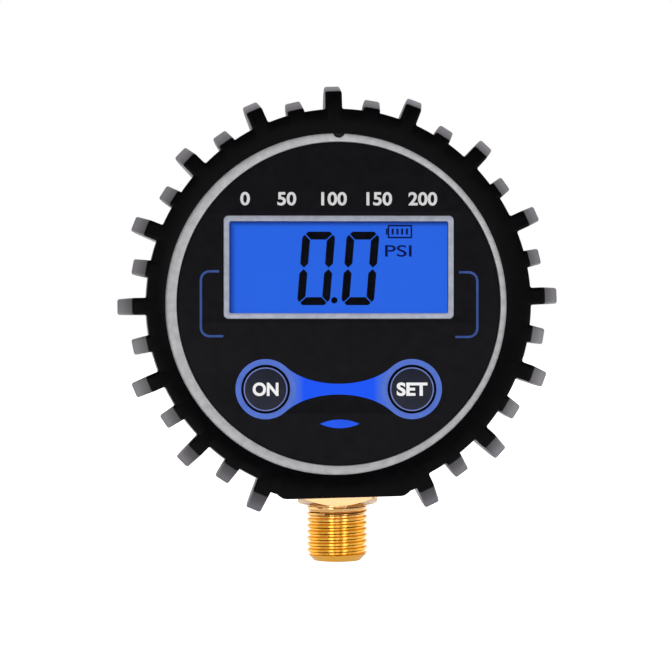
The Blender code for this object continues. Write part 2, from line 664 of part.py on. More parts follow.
def make_display(dial, materials):
    """Frame, window, LCD and backlight, stacked behind the face, with the strips that join LCD to board."""
    at = (0, DISPLAY_RISE)
    outer = rounded_rectangle(FRAME_OUTER_WIDTH, FRAME_OUTER_HEIGHT, FRAME_CORNER)
    view = rounded_rectangle(VIEW_WIDTH, VIEW_HEIGHT, VIEW_CORNER)
    frame_front = OVERLAY_FRONT + FRAME_PROUD
    slab("display_frame", [outer, view], OVERLAY_BACK, frame_front, dial, at, material=materials["silver"])

    window = rounded_rectangle(WINDOW_WIDTH, WINDOW_HEIGHT, VIEW_CORNER)
    slab("display_window", [window], WINDOW_BACK, WINDOW_FRONT, dial, at, material=materials["clear"])

    glass = rounded_rectangle(LCD_WIDTH, LCD_HEIGHT, VIEW_CORNER)
    slab("lcd_glass", [glass], LCD_BACK, LCD_FRONT, dial, at, material=materials["lcd"])

    panel = rounded_rectangle(LCD_WIDTH - 2 * STRIP_MARGIN, BACKLIGHT_HEIGHT, VIEW_CORNER)
    slab("lcd_backlight", [panel], BACKLIGHT_BACK, BACKLIGHT_FRONT, dial, at, material=materials["backlight"])

    inner_width = LCD_WIDTH + 2 * FIT_GAP
    inner_height = LCD_HEIGHT + 2 * FIT_GAP
    inner = rounded_rectangle(inner_width, inner_height, VIEW_CORNER + FIT_GAP)
    wall = 2 * HOLDER_WALL
    outer = rounded_rectangle(inner_width + wall, inner_height + wall, VIEW_CORNER + FIT_GAP + HOLDER_WALL)
    holder_front = BOARD_FRONT + SEAT_GAP + HOLDER_HEIGHT
    slab("lcd_holder", [outer, inner], BOARD_FRONT + SEAT_GAP, holder_front, dial, at, material=materials["white"])

    strip = rounded_rectangle(LCD_WIDTH - 2 * STRIP_MARGIN, STRIP_WIDTH, VIEW_CORNER)
    strip_back = BOARD_FRONT + SEAT_GAP
    for name, rise in (("upper_contact_strip", STRIP_OFFSET), ("lower_contact_strip", -STRIP_OFFSET)):
        strip_at = (0, DISPLAY_RISE + rise)
        slab(name, [strip], strip_back, LCD_BACK - SEAT_GAP, dial, strip_at, material=materials["strip"])


def make_board(dial, materials):
    """The round board, notched round the case posts and slotted round the stem, with its chip and screws."""
    slot_half = SADDLE_HALF + FIT_GAP + FIT_GAP
    slot_top = CUP_TOP - DIAL_HEIGHT + BOARD_SLOT_MARGIN
    edge = -math.degrees(math.acos(slot_half / BOARD_RADIUS))
    outline = arc((0, 0), BOARD_RADIUS, edge, 180 - edge, CASE_STEPS // 2)
    outline += [(-slot_half, slot_top), (slot_half, slot_top)]
    board = slab("circuit_board", [outline], BOARD_BACK, BOARD_FRONT, dial, material=materials["board"])
    low = BOARD_BACK - BOARD_THICKNESS
    high = BOARD_FRONT + BOARD_THICKNESS
    cuts = []
    for i, at in enumerate(case_screw_places()):
        cuts.append(rod(f"board_notch_{i + 1}", FRONT_POST_RADIUS + 2 * FIT_GAP, low, high, dial, at))
    for i, at in enumerate(board_screw_places()):
        cuts.append(rod(f"board_hole_{i + 1}", BOARD_SCREW_RADIUS + FIT_GAP, low, high, dial, at))
    cut(board, cuts)

    chip = rounded_rectangle(CHIP_SIDE, CHIP_SIDE, VIEW_CORNER)
    chip_front = BOARD_BACK - SEAT_GAP
    slab("main_chip", [chip], chip_front - CHIP_THICKNESS, chip_front, dial, (0, CHIP_RISE), material=materials["chip"])

    for side, at in zip(("left", "right"), board_screw_places()):
        head_top = BOARD_BACK - SEAT_GAP
        profile = screw_profile(BOARD_SCREW_RADIUS, BOARD_SCREW_HEAD_RADIUS, BOARD_SCREW_HEAD_HEIGHT, BOARD_SCREW_LENGTH)
        name = f"board_screw_{side}"
        turned(name, profile, dial, steps=SCREW_STEPS, at=(*at, head_top), material=materials["steel"])


def screw_profile(radius, head_radius, head_height, length):
    """A pan-head screw whose head seats at height 0 and whose shank points up z to its tip."""
    return [
        (0, length),
        (radius, length - radius),
        (radius, 0),
        (head_radius, 0),
        (head_radius, -head_height * 0.6),
        (head_radius * 0.7, -head_height),
        (0, -head_height),
    ]


def make_buttons(dial, materials):
    """Each button's cap, and under it a tact switch with its plunger."""
    switch_outline = rounded_rectangle(SWITCH_SIDE, SWITCH_SIDE, VIEW_CORNER)
    cap_front = OVERLAY_FRONT + BUTTON_PROUD
    flange_front = FACE_BACK - SEAT_GAP
    flange_radius = BUTTON_HOLE + BUTTON_FLANGE
    flange_back = flange_front - BUTTON_FLANGE_THICKNESS
    cap_profile = [
        (0, cap_front + BUTTON_CROWN),
        (BUTTON_RADIUS / 2, cap_front + BUTTON_CROWN * 0.75),
        (BUTTON_RADIUS - BUTTON_EDGE, cap_front),
        (BUTTON_RADIUS, cap_front - BUTTON_EDGE),
        (BUTTON_RADIUS, flange_front),
        (flange_radius, flange_front),
        (flange_radius, flange_back),
        (BUTTON_POST_RADIUS, flange_back),
        (BUTTON_POST_RADIUS, PLUNGER_FRONT + SEAT_GAP),
        (0, PLUNGER_FRONT + SEAT_GAP),
    ]
    plunger_profile = [
        (0, PLUNGER_FRONT),
        (PLUNGER_RADIUS, PLUNGER_FRONT),
        (PLUNGER_RADIUS, PLUNGER_BACK),
        (0, PLUNGER_BACK),
    ]
    for use, at in zip(("on", "set"), button_places()):
        turned(f"{use}_button", cap_profile, dial, at=(*at, 0), material=materials["button"])
        turned(f"{use}_plunger", plunger_profile, dial, steps=HOLE_STEPS, at=(*at, 0), material=materials["chip"])
        name = f"{use}_switch"
        switch = slab(name, [switch_outline], SWITCH_BACK, SWITCH_FRONT, dial, at, material=materials["steel"])
        bore_bottom = PLUNGER_BACK - BUTTON_TRAVEL - FIT_GAP
        bore_top = SWITCH_FRONT + SWITCH_HEIGHT
        cut(switch, [rod(f"{use}_switch_bore", PLUNGER_RADIUS + FIT_GAP, bore_bottom, bore_top, dial, at)])


def make_batteries(dial, materials):
    """Two AAA cells lying head to tail, each nub on a contact and each base on a spring."""
    profile = [
        (0, BATTERY_LENGTH),
        (BATTERY_NUB_RADIUS, BATTERY_LENGTH),
        (BATTERY_NUB_RADIUS, BATTERY_LENGTH - BATTERY_NUB_LENGTH),
        (BATTERY_RADIUS - BATTERY_EDGE, BATTERY_LENGTH - BATTERY_NUB_LENGTH),
        (BATTERY_RADIUS, BATTERY_LENGTH - BATTERY_NUB_LENGTH - BATTERY_EDGE),
        (BATTERY_RADIUS, BATTERY_EDGE),
        (BATTERY_RADIUS - BATTERY_EDGE, 0),
        (0, 0),
    ]
    base = BATTERY_LENGTH + SEAT_GAP - CONTACT_FACE
    spring_points = coil_points()
    for name, side, y in (("upper", 1, BATTERY_RISE), ("lower", -1, -BATTERY_RISE)):
        at = (side * base, y, BATTERY_DEPTH)
        turned(f"{name}_battery", profile, dial, at=at, turn=(0, -90 * side, 0), material=materials["battery"])
        spring_at = (side * CONTACT_FACE, y, BATTERY_DEPTH)
        spring_turn = (0, -90 * side, 0)
        tube(f"{name}_spring", spring_points, SPRING_WIRE_RADIUS, dial, materials["spring"], spring_at, spring_turn)

    half = CONTACT_SIDE / 2
    tail = CONTACT_TAIL_WIDTH / 2
    tail_end = BAY_TOP + CONTACT_TAIL_PROUD - BATTERY_DEPTH
    outline = [(-half, -half), (half, -half), (half, half), (tail, half)]
    outline += [(tail, tail_end), (-tail, tail_end), (-tail, half), (-half, half)]
    contact_middle = -CONTACT_FACE - CONTACT_THICKNESS / 2
    for name, y in (("positive_contact", BATTERY_RISE), ("negative_contact", -BATTERY_RISE)):
        contact = slab(name, [outline], -CONTACT_THICKNESS / 2, CONTACT_THICKNESS / 2, dial, material=materials["spring"])
        contact.location = (contact_middle, y, BATTERY_DEPTH)
        contact.rotation_euler = (math.radians(90), 0, math.radians(90))
    bridge_width = 2 * BATTERY_RISE + CONTACT_SIDE
    bridge_outline = rounded_rectangle(bridge_width, CONTACT_SIDE, VIEW_CORNER)
    bridge_half = CONTACT_THICKNESS / 2
    bridge = slab("bridge_contact", [bridge_outline], -bridge_half, bridge_half, dial, material=materials["spring"])
    bridge.location = (-contact_middle, 0, BATTERY_DEPTH)
    bridge.rotation_euler = (math.radians(90), 0, math.radians(90))


def coil_points():
    """The centre line of a battery spring, which narrows from its contact at z = 0 to the cell."""
    points = []
    rise = SPRING_LENGTH - 2 * SPRING_WIRE_RADIUS - SEAT_GAP
    count = SPRING_TURNS * SPRING_STEPS
    for step in range(count + 1):
        share = step / count
        angle = 2 * math.pi * SPRING_TURNS * share
        radius = SPRING_BASE_RADIUS + (SPRING_TIP_RADIUS - SPRING_BASE_RADIUS) * share
        height = SEAT_GAP + SPRING_WIRE_RADIUS + rise * share
        points.append((radius * math.cos(angle), radius * math.sin(angle), height))
    gaps = []
    for i, here in enumerate(points):
        for there in points[i + SPRING_STEPS // 2 :]:
            gaps.append(math.dist(here, there) - 2 * SPRING_WIRE_RADIUS)
    print(f"battery spring: least gap between its turns {min(gaps) * 1000:.2f} mm")
    return points


def make_leads(dial, materials):
    """The wires from the two outer contacts' tails to the board."""
    start_x = -CONTACT_FACE + LEAD_RADIUS
    start_z = BAY_TOP + CONTACT_TAIL_PROUD / 2 + LEAD_RADIUS
    end_x = start_x + LEAD_REACH
    end_z = BOARD_BACK - SEAT_GAP
    for name, y, colour in (("positive_lead", BATTERY_RISE, "red"), ("negative_lead", -BATTERY_RISE, "black")):
        bend = arc((start_x + LEAD_REACH / 2, start_z + LEAD_REACH / 2), LEAD_REACH / 2, -90, 0, CORNER_STEPS)
        points = [(start_x, y, start_z)] + [(x, y, z) for x, z in bend] + [(end_x, y, end_z)]
        tube(name, points, LEAD_RADIUS, dial, materials[colour])


def make_door(dial, materials):
    outlines = [door_outline(0)]
    outlines += [circle(DOOR_SCREW_RADIUS + FIT_GAP, HOLE_STEPS, at) for at in door_screw_places()]
    slab("battery_door", outlines, DOOR_BACK, DOOR_FRONT, dial, material=materials["case"])
    profile = screw_profile(DOOR_SCREW_RADIUS, DOOR_SCREW_HEAD_RADIUS, DOOR_SCREW_HEAD_HEIGHT, DOOR_SCREW_LENGTH)
    for name, at in zip(("upper", "lower"), door_screw_places()):
        screw_at = (*at, DOOR_BACK - SEAT_GAP)
        turned(f"door_screw_{name}", profile, dial, steps=SCREW_STEPS, at=screw_at, material=materials["steel"])


def make_case_screws(dial, material):
    profile = screw_profile(CASE_SCREW_RADIUS, CASE_SCREW_HEAD_RADIUS, CASE_SCREW_HEAD_HEIGHT, CASE_SCREW_LENGTH)
    names = ("upper_left", "upper_right", "lower_left", "lower_right")
    for name, at in zip(names, case_screw_places()):
        screw_at = (*at, CASE_SCREW_SEAT - SEAT_GAP)
        turned(f"case_screw_{name}", profile, dial, steps=SCREW_STEPS, at=screw_at, material=material)


def make_stem(axis, material):
    """One brass bar: thread, wrench square, groove for the case wall, upper square and sensor cup."""
    bottom = -THREAD_LENGTH
    profile = [
        (POCKET_RADIUS, CUP_TOP),
        (CUP_RADIUS, CUP_TOP),
        (CUP_RADIUS, UPPER_SQUARE_TOP - UPPER_SQUARE_HEIGHT / 2),
        (GROOVE_RADIUS, UPPER_SQUARE_TOP - UPPER_SQUARE_HEIGHT / 2),
        (GROOVE_RADIUS, LOWER_SQUARE_TOP / 2),
        (NECK_RADIUS, LOWER_SQUARE_TOP / 2),
        (NECK_RADIUS, -NECK_LENGTH),
        (THREAD_RADIUS, -NECK_LENGTH - THREAD_RADIUS + NECK_RADIUS),
        (THREAD_RADIUS, bottom + THREAD_CHAMFER),
        (THREAD_RADIUS - THREAD_CHAMFER, bottom),
        (BORE_RADIUS, bottom),
        (BORE_RADIUS, POCKET_BOTTOM),
        (POCKET_RADIUS, POCKET_BOTTOM),
    ]
    stem = turned("stem", profile, axis, closed=True, material=material)
    half = SQUARE_SIDE / 2
    lower = block("lower_square", (-half, -half, 0), (half, half, LOWER_SQUARE_TOP), axis)
    corner = half * math.sqrt(2)
    cone_profile = [
        (GROOVE_RADIUS - FIT_GAP, LOWER_SQUARE_TOP + SQUARE_CHAMFER),
        (corner + SQUARE_CHAMFER, LOWER_SQUARE_TOP + SQUARE_CHAMFER),
        (corner + SQUARE_CHAMFER, (corner + SQUARE_CHAMFER - half) * math.tan(math.radians(30))),
        (half, 0),
        (half, -SQUARE_CHAMFER),
        (GROOVE_RADIUS - FIT_GAP, -SQUARE_CHAMFER),
    ]
    cone = turned("square_chamfer", cone_profile, axis, closed=True)
    combine(lower, "INTERSECT", [cone])
    upper = block("upper_square", (-half, -half, UPPER_SQUARE_BOTTOM), (half, half, UPPER_SQUARE_TOP), axis)
    clear_bore = rod("square_bore", GROOVE_RADIUS - FIT_GAP, UPPER_SQUARE_BOTTOM - FIT_GAP, CUP_TOP, axis)
    cut(upper, [clear_bore])
    join(stem, [lower, upper])


def make_sensor(axis, materials):
    """Stem gasket, and the sensor in the stem's cup with its O-ring, ring nut and ribbon."""
    inner = GROOVE_RADIUS + FIT_GAP
    outer = inner + STEM_GASKET_WIDTH
    top = STEM_GASKET_BOTTOM + STEM_GASKET_THICKNESS
    profile = [(inner, top), (outer, top), (outer, STEM_GASKET_BOTTOM), (inner, STEM_GASKET_BOTTOM)]
    turned("stem_gasket", profile, axis, closed=True, material=materials["rubber"])

    ring_radius = POCKET_RADIUS - FIT_GAP - O_RING_WIRE
    section = arc((ring_radius, O_RING_HEIGHT), O_RING_WIRE, 90, -270, 2 * CORNER_STEPS)[:-1]
    turned("sensor_o_ring", section, axis, closed=True, steps=HOLE_STEPS, material=materials["rubber"])

    fit_radius = POCKET_RADIUS - FIT_GAP
    rod("pressure_sensor", fit_radius, SENSOR_BOTTOM, SENSOR_TOP, axis, steps=STEM_STEPS, material=materials["ceramic"])

    profile = [(NUT_HOLE_RADIUS, CUP_TOP), (fit_radius, CUP_TOP), (fit_radius, NUT_BOTTOM), (NUT_HOLE_RADIUS, NUT_BOTTOM)]
    turned("sensor_nut", profile, axis, closed=True, steps=HOLE_STEPS, material=materials["brass"])

    start = (0, SENSOR_TOP + SEAT_GAP)
    end = (-BOARD_BACK + SEAT_GAP + RIBBON_THICKNESS, SENSOR_TOP + RIBBON_RISE)
    front_side = []
    back_side = []
    for step in range(RIBBON_STEPS + 1):
        share = step / RIBBON_STEPS
        sway = share * share * (3 - 2 * share)
        y = start[0] + (end[0] - start[0]) * sway
        z = start[1] + (end[1] - start[1]) * share
        front_side.append((y - RIBBON_THICKNESS, z))
        back_side.append((y, z))
    outline = front_side + back_side[::-1]
    half = RIBBON_WIDTH / 2
    slab("sensor_ribbon", [outline], -half, half, axis, turn=(90, 0, 90), material=materials["ribbon"])


def boot_lug(name, angle, front_radius, crown_radius, dial):
    """One tooth, drawn from the side as (radius, depth) and set round the boot, clockwise from the top."""
    root = (BOOT_CAVITY + BOOT_FRONT_RADIUS) / 2
    slope_front = BOOT_FRONT - LUG_SLOPE_LENGTH
    slope_rear = BOOT_REAR + LUG_SLOPE_LENGTH
    outline = [
        (root, BOOT_FRONT),
        (root, BOOT_REAR),
        (front_radius, BOOT_REAR),
        (crown_radius, slope_rear),
        (crown_radius, slope_front),
        (front_radius, BOOT_FRONT),
    ]
    return slab(name, [outline], -LUG_WIDTH / 2, LUG_WIDTH / 2, dial, turn=(90, 0, 90 - angle))


def make_boot(dial, axis, material):
    """The moulded boot: a round sleeve with teeth of two heights, a flat shoe round the stem and two lips."""
    edge = BOOT_FRONT_RADIUS - BOOT_EDGE
    profile = [(0, BOOT_FRONT)]
    profile += arc((edge, BOOT_FRONT - BOOT_EDGE), BOOT_EDGE, 90, 0, 3)
    profile.append((BOOT_MIDDLE_RADIUS, BOOT_FRONT - LUG_SLOPE_LENGTH))
    profile.append((BOOT_MIDDLE_RADIUS, BOOT_REAR + LUG_SLOPE_LENGTH))
    profile += arc((edge, BOOT_REAR + BOOT_EDGE), BOOT_EDGE, 0, -90, 3)
    profile.append((0, BOOT_REAR))
    boot = turned("rubber_boot", profile, dial, steps=CASE_STEPS, turn=(0, 0, -BOOT_TWIST), material=material)

    lugs = []
    for i in range(TALL_LUGS):
        angle = BOOT_TWIST + LUG_PITCH * (i - (TALL_LUGS - 1) / 2)
        lugs.append(boot_lug(f"tall_lug_{i + 1}", angle, TALL_LUG_FRONT, TALL_LUG_CROWN, dial))
    for i in range(LOW_LUGS):
        angle = BOOT_TWIST + LUG_PITCH * (i - (LOW_LUGS - 1) / 2)
        lugs.append(boot_lug(f"low_lug_{i + 1}", angle, LOW_LUG_FRONT, LOW_LUG_CROWN, dial))

    shoe_outline = rounded_rectangle(SHOE_WIDTH, SHOE_WIDTH, SHOE_CORNER, (0, SHOE_WIDTH / 2 - SHOE_DROP))
    shoe_rear = BOOT_FRONT - SHOE_LENGTH
    shoe_front = BOOT_FRONT - BOOT_EDGE / 2
    shoe = slab("shoe", [shoe_outline], shoe_rear, shoe_front, dial, turn=(0, 0, -BOOT_TWIST))
    join(boot, [gathered("lugs", lugs, dial), shoe])

    cavity_front = BEZEL_STEP + SEAT_GAP
    cavity_rear = -REAR_DEPTH - SEAT_GAP
    cavity = rod("boot_cavity", BOOT_CAVITY, cavity_rear, cavity_front, dial, steps=CASE_STEPS)
    lip = rod("front_opening", LIP_RADIUS, 0, BOOT_FRONT + BOOT_LIP, dial, (LIP_SHIFT, 0), steps=CASE_STEPS)
    rear_lip = rod("rear_opening", REAR_LIP_RADIUS, BOOT_REAR - BOOT_LIP, 0, dial, steps=CASE_STEPS)
    relief_radius = BEZEL_INNER + BEZEL_FLAT + BEZEL_CHAMFER + FIT_GAP
    relief = rod("lip_relief", relief_radius, 0, BEZEL_FRONT + SEAT_GAP, dial, steps=CASE_STEPS)
    half = SQUARE_SIDE / 2 + 2 * FIT_GAP
    stem_hole = block("boot_stem_hole", (-half, -half, -SQUARE_SIDE), (half, half, DIAL_HEIGHT / 2), axis)
    cut(boot, [cavity, relief, lip, rear_lip, stem_hole])


def make_materials():
    return {
        "rubber": make_material("rubber", (0.012, 0.012, 0.013), 0.55),
        "case": make_material("case_plastic", (0.018, 0.018, 0.02), 0.5),
        "silver": make_material("silver_paint", (0.42, 0.42, 0.43), 0.35, 0.6),
        "overlay": make_material("overlay_film", (0.012, 0.012, 0.014), 0.4),
        "clear": make_material("clear_plastic", (0.8, 0.85, 0.9), 0.05),
        "lcd": make_material("lcd", (0.03, 0.13, 0.78), 0.2),
        "backlight": make_material("backlight", (0.2, 0.35, 0.9), 0.4),
        "white": make_material("white_plastic", (0.8, 0.8, 0.78), 0.5),
        "strip": make_material("contact_rubber", (0.6, 0.35, 0.35), 0.7),
        "board": make_material("board_green", (0.01, 0.12, 0.04), 0.4),
        "chip": make_material("chip_plastic", (0.02, 0.02, 0.022), 0.6),
        "steel": make_material("screw_steel", (0.6, 0.6, 0.62), 0.3, 1.0),
        "button": make_material("button_plastic", (0.02, 0.02, 0.024), 0.45),
        "battery": make_material("battery_wrap", (0.05, 0.2, 0.12), 0.35),
        "spring": make_material("contact_nickel", (0.7, 0.68, 0.62), 0.3, 1.0),
        "brass": make_material("brass", (0.75, 0.48, 0.14), 0.3, 1.0),
        "ceramic": make_material("sensor_ceramic", (0.8, 0.78, 0.74), 0.4),
        "ribbon": make_material("ribbon_film", (0.5, 0.24, 0.05), 0.5),
        "red": make_material("lead_red", (0.5, 0.02, 0.02), 0.5),
        "black": make_material("lead_black", (0.02, 0.02, 0.02), 0.5),
    }


clear_scene()
dial_frame, stem_frame = make_frames()
all_materials = make_materials()
case_stem_holes = stem_cutters(stem_frame)
make_front_case(dial_frame, case_stem_holes, all_materials["case"])
make_rear_case(dial_frame, case_stem_holes, all_materials["case"])
make_case_gasket(dial_frame, all_materials["rubber"])
make_bezel_ring(dial_frame, all_materials["silver"])
make_face_overlay(dial_frame, all_materials["overlay"])
make_display(dial_frame, all_materials)
make_board(dial_frame, all_materials)
make_buttons(dial_frame, all_materials)
make_batteries(dial_frame, all_materials)
make_leads(dial_frame, all_materials)
make_door(dial_frame, all_materials)
make_case_screws(dial_frame, all_materials["steel"])
make_stem(stem_frame, all_materials["brass"])
make_sensor(stem_frame, all_materials)
make_boot(dial_frame, stem_frame, all_materials["rubber"])
settle_pieces()
stand_up(dial_frame)
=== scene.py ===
"""Looks of the digital pressure gauge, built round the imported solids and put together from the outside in."""

import math

import bmesh
import bpy
from mathutils import Matrix, Vector


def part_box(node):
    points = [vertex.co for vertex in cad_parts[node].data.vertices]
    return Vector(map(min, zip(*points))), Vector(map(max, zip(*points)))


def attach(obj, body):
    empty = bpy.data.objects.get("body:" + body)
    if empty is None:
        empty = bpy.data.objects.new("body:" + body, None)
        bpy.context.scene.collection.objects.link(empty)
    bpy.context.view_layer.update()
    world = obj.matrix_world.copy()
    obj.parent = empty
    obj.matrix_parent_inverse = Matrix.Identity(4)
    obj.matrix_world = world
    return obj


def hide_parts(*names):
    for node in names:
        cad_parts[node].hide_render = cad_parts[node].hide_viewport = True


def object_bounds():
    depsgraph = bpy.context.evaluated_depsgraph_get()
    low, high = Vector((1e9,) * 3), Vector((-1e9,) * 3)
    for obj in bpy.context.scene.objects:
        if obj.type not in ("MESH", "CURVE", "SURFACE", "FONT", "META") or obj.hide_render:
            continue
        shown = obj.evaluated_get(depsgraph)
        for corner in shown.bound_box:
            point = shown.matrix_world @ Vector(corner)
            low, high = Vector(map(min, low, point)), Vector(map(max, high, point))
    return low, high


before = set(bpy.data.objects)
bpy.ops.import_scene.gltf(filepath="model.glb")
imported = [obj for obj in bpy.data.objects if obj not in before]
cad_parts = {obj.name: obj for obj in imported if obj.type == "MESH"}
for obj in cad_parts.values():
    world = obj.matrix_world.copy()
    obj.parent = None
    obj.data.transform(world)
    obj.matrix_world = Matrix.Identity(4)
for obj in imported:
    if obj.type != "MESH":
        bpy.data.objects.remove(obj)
cad_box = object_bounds()
scene = bpy.context.scene
scene.view_settings.view_transform = "Standard"

# Studio: a white sweep behind and below, a dark camera side and five soft boxes, as for a catalogue picture.
# The camera stands close to the level of the dial's middle and looks very slightly down.
# The floor lies well below the stem, so its shadow falls outside the picture.
CAMERA_PLACE = (-0.0075, -0.3700, 0.0300)
CAMERA_TARGET = (-0.00017, 0.0, 0.02769)
CAMERA_LENS = 119.57
FLOOR_DROP = 0.060
FLOOR_SIZE = 6.0
FLOOR_WHITE = (0.16, 0.34)
FLOOR_GLOW = 0.15
FLOOR_TURN = (-0.30, 0.10)
WORLD_TURN = (-0.5, 0.9)
AMBIENT = 0.55
CAMERA_SIDE = 0.04
PAPER_TONE = 0.85
SOFT_BOXES = {
    "key_light": ((-0.55, -0.50, 0.40), 0.45, 0.45, 2.5, False),
    "fill_light": ((0.60, -0.48, 0.25), 0.45, 0.45, 2.3, False),
    "left_strip": ((-0.230, -0.56, -0.03), 0.16, 0.08, 0.165, True),
    "right_strip": ((0.310, -0.56, -0.03), 0.15, 0.08, 0.175, True),
    "low_box": ((0.0, -0.55, -0.030), 0.14, 0.050, 0.046, True),
}


def add_object(name, data):
    obj = bpy.data.objects.new(name, data)
    scene.collection.objects.link(obj)
    return obj


def aim(obj, target):
    direction = Vector(target) - obj.location
    obj.rotation_euler = direction.to_track_quat("-Z", "Y").to_euler()


def feed(tree, node, sockets):
    """Gives each named socket of a node a value, or links it to another node's output."""
    for socket, value in sockets.items():
        if isinstance(value, bpy.types.NodeSocket):
            tree.links.new(value, node.inputs[socket])
        else:
            node.inputs[socket].default_value = value


def add_node(tree, kind, sockets=None, **settings):
    node = tree.nodes.new("ShaderNode" + kind)
    for setting, value in settings.items():
        setattr(node, setting, value)
    feed(tree, node, sockets or {})
    return node


def math_node(tree, operation, first, second):
    return add_node(tree, "Math", {0: first, 1: second}, operation=operation).outputs["Value"]


def eased(tree, value, span, low=0.0):
    """A value that runs smoothly from low to 1 while another value runs through a span."""
    sockets = {"Value": value, "From Min": span[0], "From Max": span[1], "To Min": low}
    return add_node(tree, "MapRange", sockets, interpolation_type="SMOOTHSTEP").outputs["Result"]


def place_axes(tree, kind="Object"):
    """The node that splits a surface point's place or direction into its axes."""
    return add_node(tree, "SeparateXYZ", {"Vector": add_node(tree, "TexCoord").outputs[kind]})


def new_material(name):
    finish = bpy.data.materials.new(name)
    finish.use_nodes = True
    return finish, finish.node_tree, finish.node_tree.nodes["Principled BSDF"]


camera = add_object("camera", bpy.data.cameras.new("camera"))
camera.location = CAMERA_PLACE
camera.data.lens = CAMERA_LENS
camera.data.clip_start = 0.01
camera.data.clip_end = 20
aim(camera, CAMERA_TARGET)
scene.camera = camera

scene.world = bpy.data.worlds.new("studio")
scene.world.use_nodes = True
sky = scene.world.node_tree
path = add_node(sky, "LightPath").outputs
backdrop = eased(sky, place_axes(sky, "Generated").outputs["Y"], WORLD_TURN, CAMERA_SIDE)
mirrored = math_node(sky, "MAXIMUM", path["Is Glossy Ray"], path["Is Transmission Ray"])
unseen = add_node(sky, "Mix", {"Factor": mirrored, "A": AMBIENT, "B": backdrop}).outputs["Result"]
seen = add_node(sky, "Mix", {"Factor": path["Is Camera Ray"], "A": unseen, "B": 1.0}).outputs["Result"]
feed(sky, sky.nodes["Background"], {"Color": (1, 1, 1, 1), "Strength": seen})

floor_mesh = bpy.data.meshes.new("floor")
floor_z = cad_box[0].z - FLOOR_DROP
corners = [(FLOOR_SIZE * x, FLOOR_SIZE * y, floor_z) for x, y in ((-1, -1), (1, -1), (1, 1), (-1, 1))]
floor_mesh.from_pydata(corners, [], [(0, 1, 2, 3)])
floor = add_object("floor", floor_mesh)
paper, sheet, sheet_shader = new_material("white_paper")
path = add_node(sheet, "LightPath").outputs
place = add_node(sheet, "TexCoord").outputs["Object"]
reach = add_node(sheet, "VectorMath", {0: place}, operation="LENGTH").outputs["Value"]
glow_range = {"Value": reach, "From Min": FLOOR_WHITE[0], "From Max": FLOOR_WHITE[1], "To Min": FLOOR_GLOW}
far_white = add_node(sheet, "MapRange", glow_range).outputs["Result"]
far_side = eased(sheet, place_axes(sheet).outputs["Y"], FLOOR_TURN, CAMERA_SIDE)
mirrored = math_node(sheet, "MAXIMUM", path["Is Glossy Ray"], path["Is Transmission Ray"])
mirrored = math_node(sheet, "MULTIPLY", mirrored, far_side)
lit_paper = math_node(sheet, "MAXIMUM", mirrored, path["Is Camera Ray"])
feed(sheet, sheet_shader, {
    "Base Color": (PAPER_TONE, PAPER_TONE, PAPER_TONE, 1),
    "Roughness": 0.9,
    "Specular IOR Level": 0.0,
    "Emission Color": (1, 1, 1, 1),
    "Emission Strength": math_node(sheet, "MULTIPLY", lit_paper, far_white),
})
floor_mesh.materials.append(paper)

for lamp_name, (lamp_place, lamp_width, lamp_height, lamp_power, mirrored_lamp) in SOFT_BOXES.items():
    lamp = bpy.data.lights.new(lamp_name, "AREA")
    lamp.shape = "RECTANGLE"
    lamp.size = lamp_width
    lamp.size_y = lamp_height
    lamp.energy = lamp_power
    soft_box = add_object(lamp_name, lamp)
    soft_box.location = lamp_place
    soft_box.visible_glossy = mirrored_lamp
    aim(soft_box, CAMERA_TARGET)

# Rubber boot: one black moulding that is stretched over the case, with teeth of two heights round it.
# Its teeth slope down to both rims, its lips hold the case, and a flat shoe surrounds the stem.
# The skin is drawn as closed outlines along the dial's axis, so each tooth has its rounded edges.
overlay_low, overlay_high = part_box("face_overlay")
DIAL_MIDDLE = (overlay_low.z + overlay_high.z) / 2
dial = Matrix.Translation((0, 0, DIAL_MIDDLE)) @ Matrix.Rotation(math.radians(90), 4, "X")
boot_low, boot_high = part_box("rubber_boot")
BOOT_FRONT = -boot_low.y
BOOT_REAR = -boot_high.y
BOOT_RIM = 0.0306
BOOT_MIDDLE = 0.0315
BOOT_CAVITY = 0.02935
BOOT_TWIST = math.radians(1.5)
TOOTH_PITCH = math.radians(22.3)
TOOTH_WIDTH = 0.00270
CROWN_WIDTH = 0.00262
CROWN_LEAN = 0.00035
TALL_TEETH = (15, 0.0328, 0.0361, 0.0010)
LOW_TEETH = (14, 0.0311, 0.03424, 0.0005)
TOOTH_SLOPE = 0.0118
BODY_PULL = 0.00042
TOOTH_EDGE = 0.0004
TOOTH_ROOT = 0.0003
RIM_EDGE = 0.0004
SHOE_HALF = 0.0107
SHOE_DROP = 0.0309
SHOE_CORNER = 0.0016
SHOE_ROOT = 0.0002
SHOE_LENGTH = 0.0250
SHOE_GAP = (math.radians(18), math.radians(23.9))
SHOE_GAP_FLOOR = 0.0319
LIP_RADIUS = 0.02718
LIP_SHIFT = (-0.00044, -0.00005)
LIP_UNDERSIDE = 0.0146
LIP_TOP = 0.01485
LIP_EDGE = 0.00015
LIP_SLOPE_START = 0.0286
LIP_RELIEF = 0.02785
CAVITY_FRONT = 0.01405
CAVITY_REAR = -0.0151
REAR_LIP = 0.0264
REAR_RIM_WIDTH = 0.0012
STEM_HOLE = 0.0068
STEM_HOLE_FOOT = -0.013
EDGE_LIMIT = 0.8
ROOT_LIMIT = 0.18
SHOE_STEPS = 9
QUARTER_STEPS = 4
ROOT_STEPS = 3
BODY_STEPS = 4
PULL_BELOW = 0.1
CREASE = math.radians(35)
DRIFT_SHARE = 0.08
DRIFT_STOPS = (0.3, 0.7)


